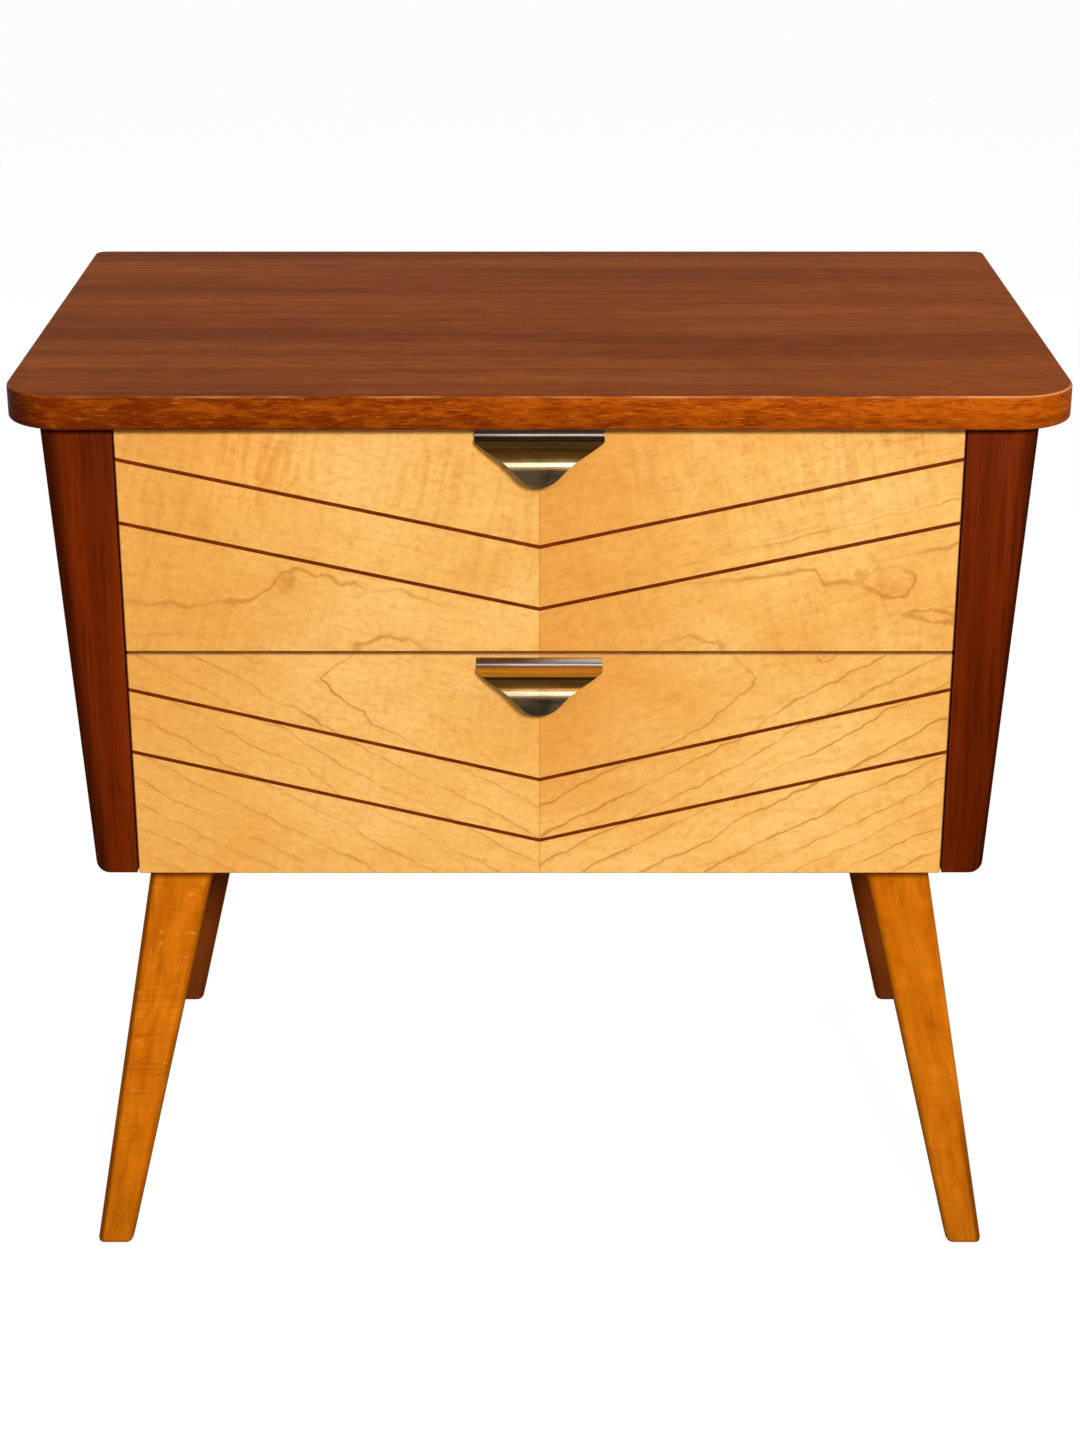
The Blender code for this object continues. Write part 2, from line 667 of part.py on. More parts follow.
def pull_screw_profile():
    """Pan-head machine screw, with the head's underside at the origin."""
    crown = PULL_SCREW_HEAD_RADIUS - PULL_SCREW_HEAD_HEIGHT / 2
    return [
        (0.0, pull_screw_reach()),
        (PULL_SCREW_RADIUS, pull_screw_reach()),
        (PULL_SCREW_RADIUS, 0.0),
        (PULL_SCREW_HEAD_RADIUS, 0.0),
        (PULL_SCREW_HEAD_RADIUS, -PULL_SCREW_HEAD_HEIGHT / 2),
        (crown, -PULL_SCREW_HEAD_HEIGHT),
        (0.0, -PULL_SCREW_HEAD_HEIGHT),
    ]


def pull_screw_hole():
    """Shank hole and the counterbore that sinks the head below the back of the front."""
    shank = PULL_SCREW_RADIUS + FIT_GAP
    head = PULL_SCREW_HEAD_RADIUS + FIT_GAP
    mouth = -PULL_SCREW_HEAD_HEIGHT - PULL_SCREW_SINK - OVERCUT
    end = pull_screw_reach() + FIT_GAP
    return [(0.0, end), (shank, end), (shank, FIT_GAP), (head, FIT_GAP), (head, mouth), (0.0, mouth)]


def make_pull_screws(label, top, front, pull, group):
    along = SHOULDER - PULL_SCREW_SINK - PULL_SCREW_HEAD_HEIGHT
    for hand, side in ((-1, "left"), (1, "right")):
        name = f"{label}_pull_screw_{side}"
        at = (hand * PULL_SCREW_SPACING / 2, along, top - PULL_SCREW_LEVEL)
        turn_profile(add_piece(name, turned_mesh(name, pull_screw_profile()), STEEL, group, at, FRONT_VIEW))
        hole = add_cutter(f"{name}_hole", turned_mesh(f"{name}_hole", pull_screw_hole()), at, FRONT_VIEW)
        turn_profile(hole)
        combine(front, hole)
        combine(pull, hole)


def make_drawer(label, front_levels, box_levels, chevron, runners):
    """One drawer: a dovetailed box with an inlaid front and its pull.

    Levels are (bottom, top), and the chevron is its (lower point, step, margin).
    """
    front_bottom, front_top = front_levels
    box_bottom, box_top = box_levels
    point, step, margin = chevron
    group = make_group(f"{label}_drawer", (0, CASE_FRONT, (front_bottom + front_top) / 2))
    front = board(f"{label}_front", (-FRONT_HALF, CASE_FRONT, front_bottom),
                  (FRONT_HALF, SHOULDER, front_top), MAPLE, group, FRONT_ARRIS)

    panel_half = BOX_INNER_HALF + BOX_BOTTOM_GROOVE - FIT_GAP
    panel_front = SHOULDER - BOX_BOTTOM_GROOVE + FIT_GAP
    panel_low = box_bottom + BOX_BOTTOM_LIFT
    panel_top = panel_low + BOX_BOTTOM_THICKNESS
    panel = board(f"{label}_box_bottom", (-panel_half, panel_front, panel_low),
                  (panel_half, BOX_REAR, panel_top), PLYWOOD, group, SHEET_ARRIS)
    back_half = BOX_INNER_HALF + BOX_BACK_HOUSING - FIT_GAP
    back_rear = BOX_REAR - BOX_BACK_SETBACK
    back = board(f"{label}_box_back", (-back_half, back_rear - BOX_BACK_THICKNESS, panel_top + FIT_GAP),
                 (back_half, back_rear, box_top - BOX_BACK_DROP), POPLAR, group)

    house(front, panel)
    for hand, word in ((-1, "left"), (1, "right")):
        side = make_box_side(f"{label}_box_side_{word}", hand, box_bottom, box_top, group)
        cut_sockets(front, hand, word, box_bottom, box_top)
        house(side, panel, past=(0, OVERCUT, 0))
        house(side, back, past=(0, 0, BOX_BACK_DROP + OVERCUT))
        house(side, runners[hand], past=(0, RUNNER_END_GAP + OVERCUT, 0))

    low_point = front_bottom + point
    high_point = low_point + step
    rise = front_top - margin - high_point
    cut_chevrons(front, (high_point, low_point), rise)
    make_strings(label, (high_point, low_point), rise, group)
    pull_top = front_top - PULL_DROP
    pull = make_pull(label, pull_top, group)
    make_pull_screws(label, pull_top, front, pull, group)


def make_rail(name, front, rear, low, high, group):
    return board(name, (-HOUSED_HALF, front, low), (HOUSED_HALF, rear, high), POPLAR, group)


def make_case(group):
    """The fixed cabinet without its runners; returns the two sides, which the runners are let into."""
    top = make_top_panel(group)
    left = make_side_panel("left_side_panel", -1, group)
    right = make_side_panel("right_side_panel", 1, group)
    boards_rear = BACK_FRONT - FIT_GAP
    bottom = board("bottom_panel", (-HOUSED_HALF, RAIL_FRONT, BOTTOM_UNDERSIDE),
                   (HOUSED_HALF, boards_rear, BOTTOM_UPPER), PLYWOOD, group)
    back = board("back_panel", (-HOUSED_HALF, BACK_FRONT, BOTTOM_UNDERSIDE),
                 (HOUSED_HALF, CASE_BACK - BACK_RECESS, SIDE_TOP_EDGE), PLYWOOD, group, SHEET_ARRIS)
    front_rail = make_rail("top_front_rail", RAIL_FRONT, RAIL_FRONT + TOP_RAIL_DEPTH,
                           TOP_RAIL_UNDERSIDE, SIDE_TOP_EDGE, group)
    rear_rail = make_rail("top_rear_rail", boards_rear - TOP_RAIL_DEPTH, boards_rear,
                          TOP_RAIL_UNDERSIDE, SIDE_TOP_EDGE, group)
    divider = make_rail("divider_rail", RAIL_FRONT, RAIL_FRONT + DIVIDER_DEPTH,
                        DIVIDER_UNDERSIDE, DIVIDER_UPPER, group)
    for side in (left, right):
        house(side, bottom)
        house(side, back, past=(0, BACK_RECESS + OVERCUT, OVERCUT))
        house(side, front_rail, past=(0, 0, OVERCUT))
        house(side, rear_rail, past=(0, 0, OVERCUT))
        house(side, divider)
    make_top_screws(top, (front_rail, rear_rail), group)
    for hand, word in ((-1, "left"), (1, "right")):
        make_bearer(f"{word}_leg_bearer", hand, group)
        make_leg(f"front_{word}_leg", hand, -1, group)
        make_leg(f"rear_{word}_leg", hand, 1, group)
    return {-1: left, 1: right}


def make_runners(label, level, sides, group):
    runners = {}
    for hand, word in ((-1, "left"), (1, "right")):
        runners[hand] = make_runner(f"{label}_runner_{word}", hand, level, group)
        house(sides[hand], runners[hand])
    return runners


def make_nightstand():
    case = make_group("case", (0, 0, 0))
    sides = make_case(case)

    front = (UPPER_FRONT_BOTTOM, UPPER_FRONT_TOP)
    box = (DIVIDER_UPPER + BOX_LOWER_CLEARANCE, TOP_RAIL_UNDERSIDE - BOX_UPPER_CLEARANCE)
    chevron = (UPPER_CHEVRON_POINT, UPPER_CHEVRON_STEP, UPPER_CHEVRON_MARGIN)
    runners = make_runners("upper", sum(box) / 2, sides, case)
    make_drawer("upper", front, box, chevron, runners)

    front = (LOWER_FRONT_BOTTOM, LOWER_FRONT_TOP)
    box = (BOTTOM_UPPER + BOX_LOWER_CLEARANCE, DIVIDER_UNDERSIDE - BOX_UPPER_CLEARANCE)
    chevron = (LOWER_CHEVRON_POINT, LOWER_CHEVRON_STEP, LOWER_CHEVRON_MARGIN)
    runners = make_runners("lower", sum(box) / 2, sides, case)
    make_drawer("lower", front, box, chevron, runners)


clear_scene()
PARTS = make_collection("nightstand")
CUTTERS = make_collection("nightstand_cutters")
TOP_STAIN = make_finish("top_mahogany_stain", 126, 68, 42, 0.36)
SIDE_STAIN = make_finish("side_mahogany_stain", 96, 38, 12, 0.40)
MAPLE = make_finish("golden_maple", 238, 178, 96, 0.36)
LEG_WOOD = make_finish("amber_leg_wood", 196, 106, 30, 0.40)
ROSEWOOD = make_finish("dark_string", 92, 34, 16, 0.45)
BEECH = make_finish("plain_beech", 205, 160, 110, 0.55)
POPLAR = make_finish("plain_poplar", 214, 184, 138, 0.60)
PLYWOOD = make_finish("plywood", 200, 164, 116, 0.62)
BRASS = make_finish("antique_brass", 140, 112, 66, 0.30, 1.0)
STEEL = make_finish("screw_steel", 150, 148, 142, 0.40, 1.0)
make_nightstand()
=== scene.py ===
"""Finishes, small hardware and studio of the two-drawer nightstand.

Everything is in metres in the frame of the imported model: +Z up, drawer faces towards -Y, floor at zero.
"""
import json
import math

import bmesh
import bpy
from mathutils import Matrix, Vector


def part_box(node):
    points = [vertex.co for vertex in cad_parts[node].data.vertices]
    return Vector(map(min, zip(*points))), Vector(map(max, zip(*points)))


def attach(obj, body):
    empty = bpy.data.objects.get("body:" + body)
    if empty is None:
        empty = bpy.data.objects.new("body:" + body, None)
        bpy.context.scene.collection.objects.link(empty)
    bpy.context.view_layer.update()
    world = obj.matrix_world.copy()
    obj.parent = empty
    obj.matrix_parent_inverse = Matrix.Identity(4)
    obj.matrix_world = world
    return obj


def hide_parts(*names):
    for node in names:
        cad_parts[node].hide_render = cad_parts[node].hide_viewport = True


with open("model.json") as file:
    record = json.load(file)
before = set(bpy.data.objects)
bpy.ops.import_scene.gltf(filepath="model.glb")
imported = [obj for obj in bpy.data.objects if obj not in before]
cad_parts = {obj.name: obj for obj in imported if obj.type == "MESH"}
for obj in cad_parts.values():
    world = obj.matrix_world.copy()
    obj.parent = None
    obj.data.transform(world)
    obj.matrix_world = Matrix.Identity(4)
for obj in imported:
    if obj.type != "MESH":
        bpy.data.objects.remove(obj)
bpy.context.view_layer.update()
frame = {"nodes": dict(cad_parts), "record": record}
NODES = frame["nodes"]
SLOT_OF = {row["node"]: row["material_slot"] for row in frame["record"]["subparts"]}
BODY_OF = {node: body for body, nodes in frame["record"]["behaviour"]["bodies"].items() for node in nodes}

# Photograph's camera
CAMERA_PLACE = (0.0003, -1.6778, 0.9678)
CAMERA_PITCH = 21.93
CAMERA_LENS = 68.54
SENSOR_LONG_SIDE = 36.0

# Edges and round stretches
SMOOTH_ANGLE = math.radians(35)
FLAT_ANGLE = math.radians(0.3)
JOIN_DISTANCE = 0.000002
LEVEL_TOLERANCE = 0.0001
TOP_CORNER_STEPS = 28
TOP_ARRIS = 0.002
TOP_ARRIS_STEPS = 5
FRONT_CORNER = 0.036
REAR_CORNER = 0.007
PULL_ARRIS = 0.00025
PULL_ARRIS_STEPS = 2

# Levels taken from the frame, and the slope of the sides' outer faces
TOP_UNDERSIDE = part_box("top_panel")[0].z
SIDE_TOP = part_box("right_side_panel")[1]
SIDE_TAPER = 0.0585
LOWER_FRONT_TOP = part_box("lower_front")[1].z
DRAWER_GAP_LEVEL = (LOWER_FRONT_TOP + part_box("upper_front")[0].z) / 2
LOWER_PULL_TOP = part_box("lower_pull")[1].z
PULL_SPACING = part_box("upper_pull")[1].z - LOWER_PULL_TOP

# Growth lines of the veneer: how steeply they rise towards the sides, and how far apart they are
GRAIN_SLOPE = 0.225
LOWER_GRAIN_RISE = 0.55
UPPER_GRAIN_RISE = 0.25
GROWTH_START = 0.157
GROWTH_SPACING = 0.0184
LONG_LINE = 0.420

# Marks in the veneer: how far out from the middle, how high, half their length and half their width
EYE = (0.202, 0.4485, 0.0150, 0.0086)
PUPIL = (0.203, 0.4465, 0.0130, 0.0070)
LENS = (0.230, 0.4255, 0.0150, 0.0034)
ARCH = (0.087, 0.4045, 0.0205, 0.0085)
KNOT = (0.147, 0.4470, 0.0060, 0.0070)
SMUDGE = (0.2147, 0.4150, 0.0220, 0.0016)
HOOK = (0.128, 0.372, 0.028, 0.024)
BARE_PATCH = (0.147, 0.398, 0.015, 0.016)

# Patches of the veneer, in the same order but from the middle towards the right
CURLY_PATCH = (-0.166, 0.520, 0.036, 0.032)
PALE_PATCH = (-0.010, 0.268, 0.075, 0.042)

# Bands of the pulls: where each one fades in, below the pull's top edge
BEAD_START = (0.0023, 0.0027)
ROOF_START = (0.0050, 0.0053)
FACE_START = (0.0088, 0.0100)
SWELL_START = (0.0145, 0.0166)
SWELL_END = (0.0200, 0.0186)
POINT_START = (0.0190, 0.0208)

# Ends of the legs, for finding each leg's axis
LEG_FOOT_LEVEL = 0.004
LEG_HEAD_LEVEL = 0.25

# Screws and brads: head radius, height of the head, and how far it stands out
BRAD_HEAD = (0.0016, 0.0009)
RUNNER_SCREW_HEAD = (0.0030, 0.0016)
BEARER_SCREW_HEAD = (0.0038, 0.0020)
HEAD_PROUD = 0.00015
BRAD_PROUD = 0.0004
HEAD_SIDES = 20
SLOT_SEED = 7

# Shares of the head radius: the head's upper rim, and the slot's length and width
HEAD_RIM = 0.82
SLOT_LENGTH = 2.4
SLOT_WIDTH = 0.24

# Where the screws and brads sit: margins from the ends, and how many there are in a row
BACK_BRAD_MARGIN = 0.004
BACK_BRADS_ACROSS = 9
BACK_BRADS_UP = 6
RUNNER_SCREW_MARGIN = 0.03
RUNNER_SCREWS = 3
BEARER_SCREW_ROW = (-0.060, 0.075)
BEARER_SCREWS = 3
BOTTOM_BRAD_MARGIN = 0.03
BOTTOM_BRADS = 7

# Studio
WORLD_LEVEL = 0.20
WORLD_SIDES = 0.10
BACKDROP_FADE_START = math.sin(math.radians(5))
BACKDROP_FADE_END = math.sin(math.radians(9))
FLOOR_LEVEL = -0.0003
FLOOR_REACH = 2000.0
FLOOR_GLOW = 0.945
FLOOR_SHADE = (0.12, 0.12, 0.12, 1.0)
FLOOR_COLOUR = (0.26, 0.26, 0.25, 1.0)

# Softboxes: name, place, what they face, width, height and power
SOFTBOXES = (
    ("front_softbox", (0.40, -2.30, 1.42), (0.0, 0.0, 0.36), 0.34, 0.24, 42.0),
    ("front_strip", (0.0, -2.30, 1.42), (0.0, 0.0, 0.36), 1.6, 0.24, 8.0),
    ("overhead_softbox", (0.0, 0.50, 2.10), (0.0, 0.0, 0.45), 1.2, 0.8, 6.0),
    ("left_rear_softbox", (-2.2, 1.3, 1.7), (0.0, 0.0, 0.35), 0.8, 0.8, 14.0),
    ("right_rear_softbox", (2.2, 1.3, 1.7), (0.0, 0.0, 0.35), 0.8, 0.8, 14.0),
)


def stain(red, green, blue):
    """A colour as a screen shows it, 0 to 255, turned into light values."""
    levels = (channel / 255 for channel in (red, green, blue))
    return tuple(c / 12.92 if c <= 0.04045 else ((c + 0.055) / 1.055) ** 2.4 for c in levels) + (1.0,)


# Stains and patina by the photograph, with painted shade, highlights and reflections in the brass colours
TOP_BROWN = stain(124, 62, 29)
TOP_TAN = stain(152, 81, 38)
EDGE_RUSSET = stain(126, 45, 1)
EDGE_ORANGE = stain(183, 84, 7)
MAPLE_DEEP = stain(243, 176, 87)
MAPLE_PALE = stain(254, 199, 114)
MAPLE_SEAM = stain(230, 152, 62)
MAPLE_END = stain(237, 162, 70)
MAPLE_SHADE = stain(216, 138, 52)
LEG_RUST = stain(206, 106, 7)
LEG_AMBER = stain(226, 126, 18)
BRASS_BEAD = stain(166, 150, 140)
BRASS_ROOF_PAINTED_REFLECTION = stain(204, 136, 36)
BRASS_SHADED_ROOF = stain(142, 112, 60)
BRASS_FACE = stain(120, 80, 32)
BRASS_BURNISH_AND_HIGHLIGHT = stain(128, 116, 90)
BRASS_POINT_PATINA_AND_SHADE = stain(42, 37, 24)


def feed(tree, socket, value):
    """Link the socket to another one, or set the number on it."""
    if isinstance(value, bpy.types.NodeSocket):
        tree.links.new(value, socket)
    else:
        socket.default_value = value


def combine(tree, operation, *values):
    """One arithmetic node on numbers or sockets."""
    made = tree.nodes.new("ShaderNodeMath")
    made.operation = operation
    for socket, value in zip(made.inputs, values):
        feed(tree, socket, value)
    return made.outputs[0]


class Finish:
    """One material: patterns in the piece's own frame, mixed into colour, roughness and relief."""

    def __init__(self, name):
        self.material = bpy.data.materials.new(name)
        self.material.use_nodes = True
        self.tree = self.material.node_tree
        self.shader = self.tree.nodes["Principled BSDF"]
        self.place = self.add("ShaderNodeTexCoord").outputs["Object"]

    def add(self, kind, **settings):
        made = self.tree.nodes.new(kind)
        for label, value in settings.items():
            setattr(made, label, value)
        return made

    def feed(self, socket, value):
        feed(self.tree, socket, value)

    def calc(self, operation, *values):
        return combine(self.tree, operation, *values)

    def times(self, first, second):
        return self.calc("MULTIPLY", first, second)

    def plus(self, first, second):
        return self.calc("ADD", first, second)

    def rise(self, value, low, high, start=0.0, end=1.0):
        """Smooth step from start to end while value goes from low to high."""
        made = self.add("ShaderNodeMapRange", interpolation_type="SMOOTHSTEP")
        for label, part in (("Value", value), ("From Min", low), ("From Max", high),
                            ("To Min", start), ("To Max", end)):
            self.feed(made.inputs[label], part)
        return made.outputs["Result"]

    def axes(self, vector):
        made = self.add("ShaderNodeSeparateXYZ")
        self.feed(made.inputs[0], vector)
        return made.outputs

    def vector(self, x, y, z):
        made = self.add("ShaderNodeCombineXYZ")
        for socket, value in zip(made.inputs, (x, y, z)):
            self.feed(socket, value)
        return made.outputs[0]

    def stretched(self, place, scale, shift=(0.0, 0.0, 0.0)):
        """place with each axis multiplied, so that a pattern of unit size gets its real proportions."""
        made = self.add("ShaderNodeVectorMath", operation="MULTIPLY_ADD")
        self.feed(made.inputs[0], place)
        made.inputs[1].default_value = scale
        made.inputs[2].default_value = shift
        return made.outputs[0]

    def noise(self, place, scale, shift=(0.0, 0.0, 0.0), detail=2.0, roughness=0.5, distortion=0.0):
        made = self.add("ShaderNodeTexNoise")
        self.feed(made.inputs["Vector"], self.stretched(place, scale, shift))
        made.inputs["Scale"].default_value = 1.0
        made.inputs["Detail"].default_value = detail
        made.inputs["Roughness"].default_value = roughness
        made.inputs["Distortion"].default_value = distortion
        return made.outputs["Fac"]

    def normal(self):
        return self.axes(self.add("ShaderNodeNewGeometry").outputs["Normal"])

    def arris(self):
        """One where two upright faces meet in a rounded edge, nought on the faces."""
        x, y, z = self.normal()
        squareness = self.calc("MAXIMUM", self.calc("ABSOLUTE", x), self.calc("ABSOLUTE", y))
        return self.times(self.rise(squareness, 0.98, 0.86), self.rise(self.calc("ABSOLUTE", z), 0.5, 0.3))

    def blend(self, share, first, second, mode="MIX"):
        made = self.add("ShaderNodeMix", data_type="RGBA", blend_type=mode)
        self.feed(made.inputs[0], share)
        self.feed(made.inputs[6], first)
        self.feed(made.inputs[7], second)
        return made.outputs[2]

    def brighten(self, colour, level):
        """colour multiplied by a level around one."""
        return self.blend(1.0, colour, self.vector(level, level, level), "MULTIPLY")

    def relief(self, height, depth, distance=0.001):
        made = self.add("ShaderNodeBump")
        made.inputs["Strength"].default_value = depth
        made.inputs["Distance"].default_value = distance
        self.feed(made.inputs["Height"], height)
        self.feed(self.shader.inputs["Normal"], made.outputs["Normal"])

    def surface(self, colour, roughness, specular=0.3, metallic=0.0):
        """Colour, roughness and metal share set on the shader; the finished material."""
        self.feed(self.shader.inputs["Base Color"], colour)
        self.feed(self.shader.inputs["Roughness"], roughness)
        self.feed(self.shader.inputs["Metallic"], metallic)
        self.shader.inputs["Specular IOR Level"].default_value = specular
        return self.material


def top_finish():
    """Stained mahogany top with its grain from side to side, and a brighter, flecked edge."""
    f = Finish("top_mahogany")
    x, y, z = f.axes(f.place)
    waver = f.noise(f.place, (2.6, 8.0, 8.0), detail=1.0)
    place = f.vector(x, f.plus(y, f.times(waver, 0.007)), z)
    ribbon = f.noise(place, (1.2, 30.0, 30.0), (3.1, 0.0, 0.0), detail=2.0)
    streak = f.noise(place, (5.0, 240.0, 240.0), (0.0, 5.3, 0.0), detail=3.0, roughness=0.6)
    fine = f.noise(place, (16.0, 760.0, 760.0), (2.0, 1.0, 0.0), detail=1.0)
    pores = f.rise(f.noise(place, (52.0, 1700.0, 1700.0), detail=1.0), 0.60, 0.74)
    dash = f.noise(place, (46.0, 300.0, 300.0), (0.0, 0.0, 3.3), detail=2.0, roughness=0.6)
    cloud = f.noise(f.place, (4.0, 6.0, 6.0), (0.0, 0.0, 7.7), detail=2.0)
    dark_band = f.rise(f.noise(place, (0.8, 70.0, 70.0), (1.0, 2.0, 0.0), detail=1.0), 0.60, 0.72)

    face = f.blend(f.rise(ribbon, 0.28, 0.72), TOP_BROWN, TOP_TAN)
    face = f.blend(f.times(f.rise(streak, 0.42, 0.74), 0.38), face, stain(104, 48, 24))
    dark_band = f.times(dark_band, f.rise(x, -0.05, 0.20, 0.19, 0.42))
    face = f.blend(dark_band, face, stain(98, 44, 22))
    face = f.blend(f.times(f.rise(x, 0.05, 0.30), 0.30), face, stain(152, 74, 26))
    face = f.blend(f.times(pores, 0.22), face, stain(84, 38, 20))
    face = f.brighten(face, f.rise(fine, 0.28, 0.72, 0.94, 1.06))
    face = f.brighten(face, f.rise(dash, 0.28, 0.72, 0.86, 1.14))
    face = f.brighten(face, f.rise(cloud, 0.25, 0.75, 0.90, 1.10))

    fleck = f.noise(place, (130.0, 130.0, 1000.0), (0.0, 0.0, 2.0), detail=2.0, roughness=0.6)
    mottle = f.noise(place, (38.0, 38.0, 170.0), (8.0, 0.0, 0.0), detail=4.0, roughness=0.7,
                     distortion=0.3)
    mottle = f.plus(mottle, f.times(x, 0.34))
    edge = f.blend(f.rise(mottle, 0.32, 0.68), EDGE_RUSSET, EDGE_ORANGE)
    edge = f.blend(f.times(f.rise(fleck, 0.52, 0.68), 0.62), edge, stain(104, 34, 1))
    edge = f.blend(f.times(f.rise(fleck, 0.42, 0.26), 0.55), edge, stain(218, 122, 34))
    # Painted light and shade on the edge: lighter towards the right, darker towards the left, much darker at
    # the front-left corner, and darker towards the lower arris.
    edge = f.brighten(edge, f.rise(x, -0.30, 0.30, 0.85, 1.11))
    front_left = f.times(f.rise(x, -0.270, -0.304), f.rise(y, -0.150, -0.176))
    edge = f.brighten(edge, f.rise(front_left, 0.0, 1.0, 1.0, 0.45))
    edge = f.brighten(edge, f.rise(z, TOP_UNDERSIDE, TOP_UNDERSIDE + 0.012, 0.80, 1.05))

    upright = f.normal()[2]
    colour = f.blend(f.rise(upright, 0.50, 0.90), edge, face)
    # Pale colour along the rounded upper arris: wear, with a painted highlight that grows towards the right.
    worn_and_lit_arris = f.times(f.rise(upright, 0.25, 0.60), f.rise(upright, 0.97, 0.72))
    rub_and_highlight = f.rise(f.noise(f.place, (26.0, 26.0, 26.0), detail=3.0), 0.35, 0.65)
    rub_and_highlight = f.times(rub_and_highlight, f.rise(x, -0.20, 0.20, 0.55, 0.95))
    colour = f.blend(f.times(worn_and_lit_arris, rub_and_highlight), colour, stain(226, 150, 88))
    rear_line = f.times(f.rise(y, 0.1850, 0.1880, 0.0, 0.65), f.rise(upright, 0.20, 0.50))
    colour = f.blend(rear_line, colour, stain(62, 24, 16))
    sheen = f.rise(cloud, 0.2, 0.8, 0.50, 0.60)
    f.relief(f.plus(f.times(pores, -1.0), f.times(streak, 0.5)), 0.08, 0.0004)
    return f.surface(colour, sheen, specular=0.02)


def side_finish():
    """Dark mahogany sides with upright grain, painted shade on their front faces towards the outer edge and
    on the rounded arrises.
    """
    f = Finish("side_mahogany")
    x, y, z = f.axes(f.place)
    waver = f.noise(f.place, (8.0, 8.0, 2.5), detail=1.0)
    place = f.vector(f.plus(x, f.times(waver, 0.012)), y, z)
    ribbon = f.noise(place, (55.0, 40.0, 1.8), detail=2.0)
    streak = f.noise(place, (330.0, 300.0, 16.0), (4.0, 0.0, 0.0), detail=3.0, roughness=0.6)
    pores = f.rise(f.noise(place, (1600.0, 1600.0, 50.0), detail=1.0), 0.60, 0.74)
    cloud = f.noise(f.place, (9.0, 9.0, 5.0), (0.0, 2.2, 0.0), detail=2.0)
    colour = f.blend(f.rise(ribbon, 0.30, 0.70), stain(96, 28, 1), stain(122, 42, 4))
    colour = f.blend(f.times(f.rise(streak, 0.44, 0.68), 0.50), colour, stain(70, 18, 1))
    colour = f.blend(f.times(pores, 0.35), colour, stain(48, 12, 1))
    colour = f.brighten(colour, f.rise(cloud, 0.25, 0.75, 0.93, 1.11))
    # Painted shade on the front faces towards the outer edge, reaching further in on the left side than on
    # the right.
    outer = f.plus(f.times(f.plus(z, -SIDE_TOP.z), SIDE_TAPER), SIDE_TOP.x)
    inward = f.calc("SUBTRACT", outer, f.calc("ABSOLUTE", x))
    left_painted_shade = f.rise(inward, 0.0012, 0.0128, -0.70, 0.0)
    right_painted_shade = f.rise(inward, 0.0034, 0.0124, -0.25, 0.0)
    right_painted_shade = f.plus(right_painted_shade, f.rise(inward, 0.0008, 0.0034, -0.45, 0.0))
    right = f.calc("GREATER_THAN", x, 0.0)
    outer_painted_shade = f.plus(f.times(right, right_painted_shade), f.times(f.calc("SUBTRACT", 1.0, right), left_painted_shade))
    outer_painted_shade = f.times(outer_painted_shade, f.rise(f.normal()[1], -0.4, -0.8))
    colour = f.brighten(colour, f.plus(outer_painted_shade, 1.0))
    # Painted shade on the rounded arrises.
    colour = f.blend(f.times(f.arris(), 0.55), colour, stain(44, 12, 1))
    f.relief(f.plus(f.times(pores, -1.0), f.times(streak, 0.5)), 0.08, 0.0004)
    return f.surface(colour, f.rise(cloud, 0.2, 0.8, 0.38, 0.50), specular=0.02)


def swell(f, along, across, at_along, at_across, length, width):
    """Bell-shaped rise from nought to one round one point of the veneer."""
    a = f.times(f.plus(along, -at_along), 1 / length)
    b = f.times(f.plus(across, -at_across), 1 / width)
    distance = f.plus(f.times(a, a), f.times(b, b))
    return f.calc("EXPONENT", f.times(distance, -1.0))


def growth_loop(f, along, across, at_along, at_across, length, width):
    """Closed growth line round one point of the veneer, as strong as one on the line itself."""
    a = f.times(f.plus(along, -at_along), 1 / length)
    b = f.times(f.plus(across, -at_across), 1 / width)
    reach = f.calc("SQRT", f.plus(f.times(a, a), f.times(b, b)))
    off = f.times(f.calc("ABSOLUTE", f.plus(reach, -1.0)), width)
    return f.rise(off, 0.0020, 0.0002)


def lower_growth(f, out, z, wander, ragged):
    """Growth lines of the lower drawer: slanting, with a hook near the top and a small step in each line."""
    level = f.plus(f.calc("SUBTRACT", z, f.times(out, LOWER_GRAIN_RISE)), f.times(wander, 0.015))
    level = f.plus(level, f.times(ragged, 0.004))
    climb = f.times(f.calc("MAXIMUM", f.plus(z, -0.359), 0.0), -0.40)
    turn = f.times(f.calc("MAXIMUM", f.plus(z, -0.388), 0.0), -1.43)
    bend = f.times(f.plus(climb, turn), f.rise(out, 0.168, 0.148))
    step = f.rise(f.calc("SUBTRACT", out, f.times(z, 0.56)), -0.055, -0.047, 0.0, -0.0045)
    level = f.plus(level, f.plus(bend, step))
    count = f.times(f.plus(level, -GROWTH_START), 1 / GROWTH_SPACING)
    count = f.plus(count, f.times(swell(f, level, 0.0, 0.198, 0.0, 0.032, 1.0), 0.5))
    phase = f.calc("FRACT", count)
    nearest = f.calc("SUBTRACT", 0.5, f.calc("ABSOLUTE", f.plus(phase, -0.5)))
    line = f.rise(nearest, 0.055, 0.012)
    lines = f.plus(line, f.times(f.rise(phase, 0.70, 1.0), 0.14))
    clear = f.plus(1.0, f.times(swell(f, out, z, *BARE_PATCH), -1.0))
    hook = f.plus(1.0, f.times(swell(f, out, z, *HOOK), 0.8))
    return f.times(f.times(lines, hook), f.times(clear, f.rise(level, 0.313, 0.307)))


